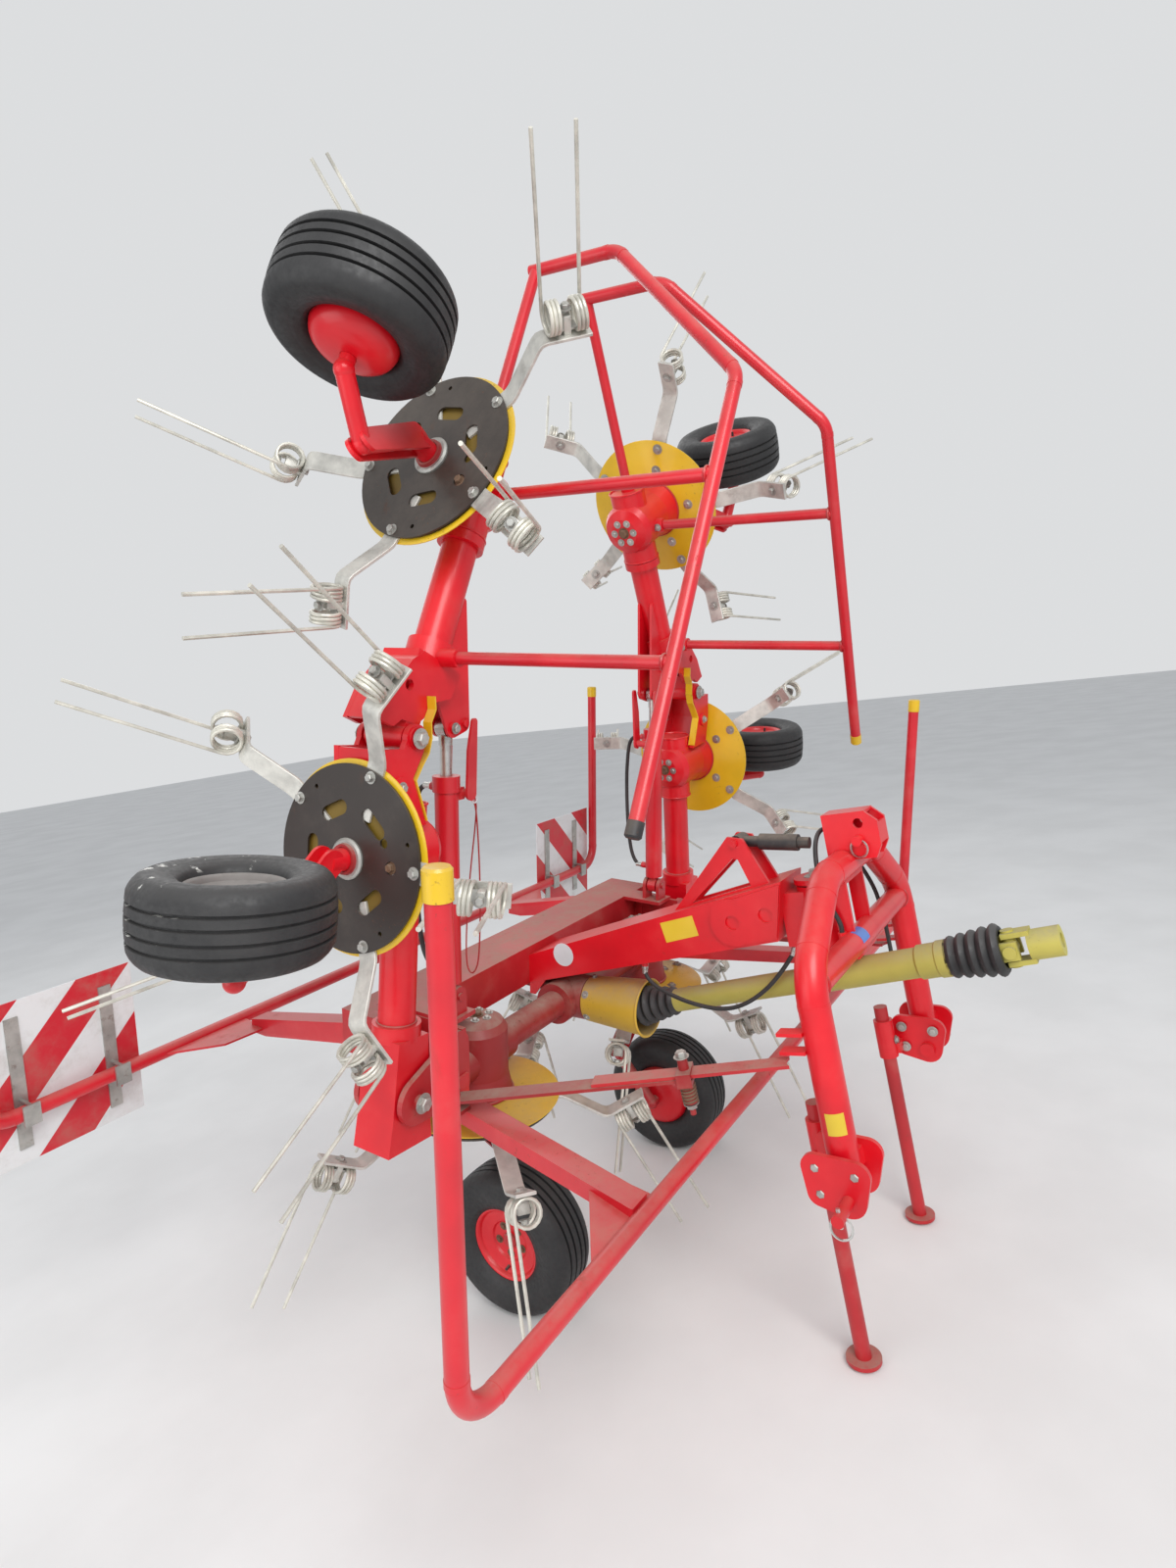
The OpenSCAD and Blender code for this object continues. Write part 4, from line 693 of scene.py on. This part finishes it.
for word, section, phase, hole_arm in ROTORS:
    name, place = f"rotor_{word}_{section}", ROTOR[word, section]
    tines = Piece(f"{name}_arms", name, "tine_steel", (f"{name}_tines",))
    discs = Piece(f"{name}_plates", name, "yellow_paint", (f"{name}_discs",))
    for k in range(ARMS):
        spoke = place @ turned("Z", k * 360 / ARMS + phase)
        arm = spoke @ moved(0, 0, -DISC_DROP - ARM_T / 2)
        bend = arm @ moved(ARM_BEND_R, 0, -ARM_BEND_DROP) @ turned("Y", -TINE_LEAN)
        end = bend @ moved(ARM_END * CLAMP_SHARE, 0, -COIL_SEAT)
        tines.add(ARM_SHAPE, arm_steel, arm)
        tines.add(TINE_SHAPE, tine, end)
        tines.add(CLAMP, arm_steel, end @ moved(0, 0, COIL_SEAT / 2 - 0.004))
        tines.add(CLAMP_BAR, zinc, end @ moved(0, 0, COIL_R - 0.0082))
        tines.add(BOLT, zinc, end @ moved(0, 0, COIL_SEAT + ARM_T / 2))
        tines.add(NUT, zinc, end @ moved(0, 0, -0.016) @ turned("X", 180))
        for r in BOLT_RADII:
            discs.add(BOLT, zinc, spoke @ moved(r, 0, -DISC_DROP + DISC_T + 0.001))
        discs.add(NUT, zinc, spoke @ moved(BOLT_RADII[0], 0, -PLATE_DROP) @ turned("X", 180))
    discs.add(lathe(DISC_PROFILE, 64), yellow, place @ moved(0, 0, -DISC_DROP))
    # Painted shade: a dark sheet under the yellow disc, seen through the slots of the lower plate
    discs.add(lathe(DISC_SHADE_SHEET, 48), painted_shade_underside, place @ moved(0, 0, -DISC_DROP))
    pattern = hole_arm * 360 / ARMS + phase
    cuts = [slot_outline(SLOT_AT, 0, SLOT_HALF, SLOT_LEN / 2, pattern + a) for a in SLOT_ANGLES]
    for r, turn, hole in PLATE_HOLES:
        a = math.radians(pattern + turn)
        cuts.append(circle(r * math.cos(a), r * math.sin(a), hole, 20))
    lower_plate = prism(circle(0, 0, PLATE_R, 72), DISC_T, cuts)
    discs.add(lower_plate, plate_black, place @ moved(0, 0, -PLATE_DROP + DISC_T / 2))
    below = place @ moved(0, 0, -PLATE_DROP) @ turned("X", 180)
    discs.add(SEAL, zinc, below)
    discs.add(COLLAR, red_old, below)
    spoke = place @ turned("Z", pattern)
    discs.add(NUT, rusty, spoke @ moved(BOLT_RADII[1], 0, -PLATE_DROP + DISC_T) @ turned("X", 180))
    tines.done()
    discs.done()

# Wheels

GROOVES = (-0.035, -0.0125, 0.0125, 0.035)


def tyre_profile(radius, bead):
    """Flank, shoulder and four grooves of a ribbed tyre, its flank stretched between bead and tread."""
    flank = [(0.01, 0.0576), (0.08, 0.0655), (0.135, 0.0700), (0.25, 0.0735), (0.28, 0.0752), (0.31, 0.0752),
             (0.34, 0.0768), (0.485, 0.0796), (0.62, 0.0800), (0.65, 0.0788), (0.68, 0.0792), (0.796, 0.0745),
             (0.874, 0.0672), (0.927, 0.0600), (0.966, 0.0520)]
    flank = [(bead + share * (radius - bead), z) for share, z in flank]
    tread = []
    for z in GROOVES:
        crown = radius - 0.0035 * (z / 0.052) ** 2
        tread += [(crown, z - 0.0036), (crown - 0.007, z - 0.0024), (crown - 0.007, z + 0.0024), (crown, z + 0.0036)]
    return [(r, -z) for r, z in flank] + tread + [(r, z) for r, z in reversed(flank)]


RIM_FACE = 0.0295


def rim_profile(r):
    """Domed on the leg's side, dished in two steps on the other, with a bore for the axle."""
    face = TYRE_W / 2 + DOME
    return [
        (0.0165, -face), (r * 0.3, -face), (r * 0.48, -face + 0.0025), (r * 0.66, -face + 0.0065),
        (r - 0.018, -face + 0.013), (r - 0.009, -face + 0.021), (r - 0.0045, -0.072), (r - 0.001, -0.062),
        (r + 0.0005, -0.056), (r + 0.0005, 0.056), (r - 0.003, 0.0555), (r - 0.0075, 0.052), (r - 0.011, 0.044),
        (r - 0.018, 0.041), (r * 0.64, 0.039), (r * 0.57, 0.0365), (r * 0.53, 0.031), (r * 0.48, RIM_FACE),
        (0.0165, RIM_FACE)]


HUB_CAP = lathe([(0, 0), (0.021, 0), (0.021, 0.0075), (0.018, 0.0100), (0, 0.0105)], 28)
ALONG_X = turned("Y", 90)
for word, section, _, _ in ROTORS:
    name = f"wheel_{word}_{section}"
    offset, radius, bead = WHEELS[section]
    place = ROTOR[word, section] @ moved(offset, -WHEEL_AHEAD, -WHEEL_DROP) @ ALONG_X
    near_low = (word, section) == ("right", 2)
    tyre = Piece(f"{name}_rubber", name, "tyre_rubber", (f"{name}_tyre",))
    tyre.add(lathe(tyre_profile(radius, bead), 72, True), tyre_soiled if near_low else tyre_black, place)
    tyre.done(40)
    rim = Piece(f"{name}_disc", name, "red_paint", (f"{name}_rim",))
    rim.add(lathe(rim_profile(bead), 48, True), rim_dusty if near_low else red, place)
    rim.add(HUB_CAP, rim_dusty if near_low else red_dull, place @ moved(0, 0, RIM_FACE - 0.0005))
    for k in range(5):
        rim.add(SMALL_BOLT, rusty, place @ turned("Z", 72 * k) @ moved(bead * 0.40, 0, RIM_FACE - 0.0005))
    rim.add(tube([(bead * 0.72, 0, 0.034), (bead * 0.75, 0, 0.054)], 0.0042, 8), black, place)
    rim.done()

# Drive shaft guard

GUARD_BORE, TUBE_R, FOLD_PITCH = 0.020, 0.033, 0.026
TUBE_START, LAP_START, LAP_END, COLLAR_START, TUBE_END = 0.130, 0.560, 0.575, 0.850, 0.930
INNER_TUBE = [(GUARD_BORE, TUBE_START), (TUBE_R, TUBE_START), (TUBE_R, LAP_END), (GUARD_BORE, LAP_END)]
OUTER_TUBE = [
    (GUARD_BORE, LAP_START), (TUBE_R + 0.003, LAP_START), (TUBE_R + 0.006, LAP_START + 0.006),
    (TUBE_R + 0.005, COLLAR_START), (TUBE_R + 0.010, COLLAR_START + 0.006), (TUBE_R + 0.010, 0.900),
    (TUBE_R + 0.013, 0.904), (TUBE_R + 0.013, TUBE_END), (GUARD_BORE, TUBE_END)]


def folds(start, radii, dip=0.010, bore=GUARD_BORE):
    """Bellows: a crest and a valley for each fold."""
    points = [(bore, start)]
    for i, r in enumerate(radii):
        z = start + i * FOLD_PITCH
        points += [
            (r - dip, z + 0.001), (r - 0.002, z + FOLD_PITCH * 0.30), (r, z + FOLD_PITCH * 0.5),
            (r - 0.002, z + FOLD_PITCH * 0.70), (r - dip, z + FOLD_PITCH - 0.001)]
    return points + [(bore, start + len(radii) * FOLD_PITCH)]


guard = Piece("shaft_guard", "frame", "guard_plastic", ("pto_guard",))
guard.add(lathe(folds(0.010, [0.061, 0.056, 0.051, 0.046, 0.042]), 40, True), bellows_black, PTO)
guard.add(lathe(INNER_TUBE, 40, True), tube_plastic, PTO)
guard.add(lathe(OUTER_TUBE, 40, True), tube_plastic, PTO)
guard.add(lathe(folds(TUBE_END - 0.005, [0.052, 0.055, 0.058, 0.061, 0.064], 0.009, 0.046), 40, True),
          bellows_black, PTO)
guard.add(lathe([(0, -0.012), (0.026, -0.012), (0.030, -0.004), (0.030, 0.016), (0, 0.016)], 24), black, PTO)
CONE_RISE, CONE_Z = math.radians(4), 0.712
CONE = LEVEL @ aimed((0, 0, CONE_Z), (0, -math.cos(CONE_RISE), math.sin(CONE_RISE)))
guard.add(lathe([(0, 0.0963), (0.022, 0.0963), (0.022, 0.236), (0, 0.236)], 24), black, CONE)
guard.done()

cone_trim = Piece("cone_trim", "frame", "yellow_paint")
cone_trim.add(ring(0.0845, 0.004, 48), yellow_dull, CONE @ moved(0, 0, 0.284))
for k in range(6):
    cone_trim.add(SMALL_BOLT, zinc, CONE @ turned("Z", 30 + 60 * k) @ aimed((0.0705, 0, 0.098), (1, 0, 0)))
cone_trim.done()

# Small trim, gathered by the body that carries it

TRIM = {}


def trim(body):
    if body not in TRIM:
        TRIM[body] = Piece(f"trim_{body}", body, "zinc")
    return TRIM[body]


for word, section, _, _ in ROTORS:
    place = ROTOR[word, section]
    body = trim(CARRIER[section].format(word))
    for k in range(6):
        body.add(SMALL_BOLT, zinc, place @ turned("Z", 30 + 60 * k) @ moved(0.034, 0, GEAR_TOP))
    body.add(bolt(0.014, 0.010, 1.3), rusty, place @ moved(0, 0, GEAR_TOP))
    body.add(ring(GEAR_R + 0.011, 0.004, 48), red_dull, place @ moved(0, 0, -DISC_DROP + DISC_T + 0.010))
    if section > 1:
        for x in (-0.112, 0.112):
            body.add(ring(0.0565, 0.003, 40), red, place @ moved(x, 0, 0) @ ALONG_X)

POLE_CAP_R, HOOP_CAP_R = GUARD_R + 0.0022, HOOP_R + 0.0018
POLE_CAP = [(0, -0.040), (POLE_CAP_R, -0.040), (POLE_CAP_R, 0.002), (0.018, 0.006), (0, 0.007)]
HOOP_CAP = [(0, 0), (HOOP_CAP_R, 0), (HOOP_CAP_R, 0.030), (HOOP_R - 0.002, 0.034), (0, 0.034)]
for word, s in SIDES:
    inner, outer, level = INNER[word], OUTER[word], side_of(LEVEL, s)
    body = trim(f"wing_inner_{word}")
    for e in (-1, 1):
        outward = turned("X", -90 * e)
        body.add(bolt(0.016, 0.012, 1.5), zinc,
                 inner @ moved(HINGE_U, e * (EAR_Y + EAR_T + 0.011), -HINGE_DROP) @ outward)
        body.add(bolt(0.010, 0.008, 1.4), zinc,
                 inner @ moved(HINGE_U - 0.110, e * (EAR_Y + EAR_T + 0.005), -HINGE_DROP - 0.047) @ outward)
    body.add(ring(0.0465, 0.003, 40), red_dull, inner @ moved(0.181, 0, 0) @ ALONG_X)
    body = trim("frame")
    for e in (-1, 1):
        body.add(bolt(0.018, 0.012, 1.4), zinc,
                 level @ moved(PIVOT_X, e * (EAR_Y + EAR_T + 0.0145), DRIVE_Z) @ turned("X", -90 * e))
    for y in (GUARD_FRONT, GUARD_REAR):
        body.add(lathe(POLE_CAP, 24), yellow, level @ moved(GUARD_HALF, y, POLE_TOP))
    body = trim(f"wing_outer_{word}")
    cap = black if word == "right" else yellow
    body.add(lathe(HOOP_CAP, 20), cap, outer @ moved(-0.118, -HOOP_FRONT, HOOP_W) @ turned("Y", -90))
    for u in (0.212, ROTOR_OUT - 0.010):
        body.add(ring(HOOP_R + 0.001, 0.0035, 20, 6), red_dull,
                 outer @ moved(u, -HOOP_FRONT + HOOP_R, HOOP_W) @ turned("X", 90))
        for y in (-0.090, -0.075):
            body.add(SMALL_BOLT, zinc, outer @ moved(u, y, HOOP_W + 0.0215))
    for e in (-1, 1):
        body.add(bolt(0.011, 0.008, 1.3), zinc, outer @ moved(0.082, e * 0.0335, 0.167) @ turned("X", -90 * e))

    # Spring and lock nut on each strut's clamp
    strut = STRUT[word]
    body = trim("frame")
    body.add(helix(0.0165, 0.0028, 0.0085, 5.6), rusty, strut @ moved(STRUT_BOLT, 0, -0.060))
    body.add(bolt(0.013, 0.011, 1.4), zinc, strut @ moved(STRUT_BOLT, 0, -0.062) @ turned("X", 180))
    body.add(bolt(0.013, 0.012, 1.4), zinc, strut @ moved(STRUT_BOLT, 0, 0.052))
    body.add(bolt(0.011, 0.008, 1.4), zinc, strut @ moved(0, 0, 0.0306))

    # Lynch pins on the hitch pins, and bolts through the forks
    head = side_of(HEAD, s)
    body = trim("headstock")
    body.add(ring(0.024, 0.0028, 24, 6), bright, head @ aimed(HITCH_PIN + Vector((0, 0, -0.022)), (1, 0, 0.2)))
    body.add(tube([(0, 0, -0.022), (0, 0, 0.022)], 0.0045, 10), bright, head @ moved(*HITCH_PIN))
    for y, z in ((-0.126, -0.459), (-0.040, -0.445), (-0.042, -0.505)):
        body.add(bolt(0.010, 0.008, 1.5), zinc, head @ moved(ARCH_HALF + 0.0515, y, z) @ turned("Y", 90))
        body.add(bolt(0.010, 0.008, 1.5), zinc, head @ moved(ARCH_HALF - 0.0635, y, z) @ turned("Y", -90))
    body.add(bolt(0.009, 0.007, 1.4), zinc, head @ moved(0.306, -0.0275, -0.470) @ turned("X", 90))

# Link box pin with its ring, bolts over the swivel
body = trim("headstock")
for e in (-1, 1):
    body.add(ring(0.022, 0.0028, 24, 6), bright, HEAD @ aimed((e * 0.047, -0.139, 0.170), (1, 0.15 * e, 0)))
body.add(bolt(0.020, 0.014, 1.6), zinc, HEAD @ moved(0, 0, 0.103))
body.add(bolt(0.020, 0.014, 1.6), zinc, HEAD @ moved(0, 0, -0.103) @ turned("X", 180))
for e in (-1, 1):
    body.add(ring(CROSS_R + 0.0005, 0.004, 32), red_dull,
             HEAD @ moved(e * (ARCH_HALF - ARCH_R), -ARCH_AHEAD, -CROSS_DROP) @ ALONG_X)

# Blank labels


def rectangle(half_x, half_y):
    return [(-half_x, -half_y), (half_x, -half_y), (half_x, half_y), (-half_x, half_y)]


def wrap(r, facing, spread, count=10):
    """Outline of a sticker bent round a tube."""
    turns = [math.radians(facing - spread + 2 * spread * i / count) for i in range(count + 1)]
    outer = [((r + LABEL_T) * math.cos(a), (r + LABEL_T) * math.sin(a)) for a in turns]
    return outer + [((r - LABEL_T) * math.cos(a), (r - LABEL_T) * math.sin(a)) for a in reversed(turns)]


body = trim("frame")
SIDE_WALL = turned("Z", -90) @ turned("X", 90)
body.add(prism(circle(0, 0, 0.036, 40), LABEL_T), label_white,
         LEVEL @ moved(BOOM_SIDE, -0.030, 0.876) @ SIDE_WALL)
body.add(prism(rectangle(0.053, 0.029), LABEL_T), label_yellow,
         LEVEL @ moved(BOOM_SIDE, -0.420, 1.030) @ SIDE_WALL @ turned("Z", BOOM_SLOPE))
body = trim("headstock")
body.add(prism(wrap(ARCH_R, 197, 34), 0.050), label_yellow, HEAD @ moved(-ARCH_HALF, -ARCH_AHEAD, -0.355))
body.add(prism(wrap(CROSS_R, 225, 40), 0.055), label_blue,
         HEAD @ moved(-0.060, -ARCH_AHEAD, -CROSS_DROP) @ ALONG_X)
for piece in TRIM.values():
    piece.done()

# Floor and light

FLOOR_HALF = 30.0
floor_shader = Shader("floor")
patches = floor_shader.remap(floor_shader.noise(1.5, 5), 0.3, 0.7)
floor_shader.surface(floor_shader.mix(patches, (0.76, 0.75, 0.73, 1), (0.82, 0.81, 0.79, 1)), 0.85)
floor_mesh = bpy.data.meshes.new("floor")
floor_mesh.from_pydata([(x, y, 0) for x, y in rectangle(FLOOR_HALF, FLOOR_HALF)], [], [(0, 1, 2, 3)])
floor_mesh.materials.append(floor_shader.material)
floor = bpy.data.objects.new("floor", floor_mesh)
bpy.context.scene.collection.objects.link(floor)

# The camera and mirror rays see a pale backdrop, and the light itself stays at its own level
world = bpy.data.worlds.new("world")
world.use_nodes = True
sky, links = world.node_tree.nodes, world.node_tree.links
light_sky = sky["Background"]
light_sky.inputs[0].default_value = (0.86, 0.90, 0.96, 1)
light_sky.inputs[1].default_value = 0.62
pale_sky = sky.new("ShaderNodeBackground")
pale_sky.inputs[0].default_value = (0.72, 0.73, 0.74, 1)
seen = sky.new("ShaderNodeLightPath")
blend = sky.new("ShaderNodeMixShader")
shown = seen.outputs["Is Camera Ray"]
for ray in ("Is Glossy Ray", "Is Transmission Ray"):
    either = sky.new("ShaderNodeMath")
    either.operation = "MAXIMUM"
    links.new(shown, either.inputs[0])
    links.new(seen.outputs[ray], either.inputs[1])
    shown = either.outputs[0]
links.new(shown, blend.inputs[0])
links.new(light_sky.outputs[0], blend.inputs[1])
links.new(pale_sky.outputs[0], blend.inputs[2])
links.new(blend.outputs[0], sky["World Output"].inputs[0])
bpy.context.scene.world = world

# A light row: name, place, point it looks at, size, power
LIGHTS = [
    ("key", (-3.4, -3.8, 4.8), (0, 0, 1.2), 3.4, 260),
    ("fill", (-4.8, 1.2, 2.2), (0, 0, 1.3), 3.6, 60),
    ("back", (2.5, 3.5, 5.0), (0, 0, 1.5), 4.0, 70),
]
for name, place, target, size, power in LIGHTS:
    data = bpy.data.lights.new(name, "AREA")
    data.size, data.energy = size, power
    light = bpy.data.objects.new(name, data)
    heading = (Vector(target) - Vector(place)).to_track_quat("-Z", "Y")
    light.matrix_world = moved(*place) @ heading.to_matrix().to_4x4()
    bpy.context.scene.collection.objects.link(light)
bpy.context.scene.view_settings.view_transform = "Standard"
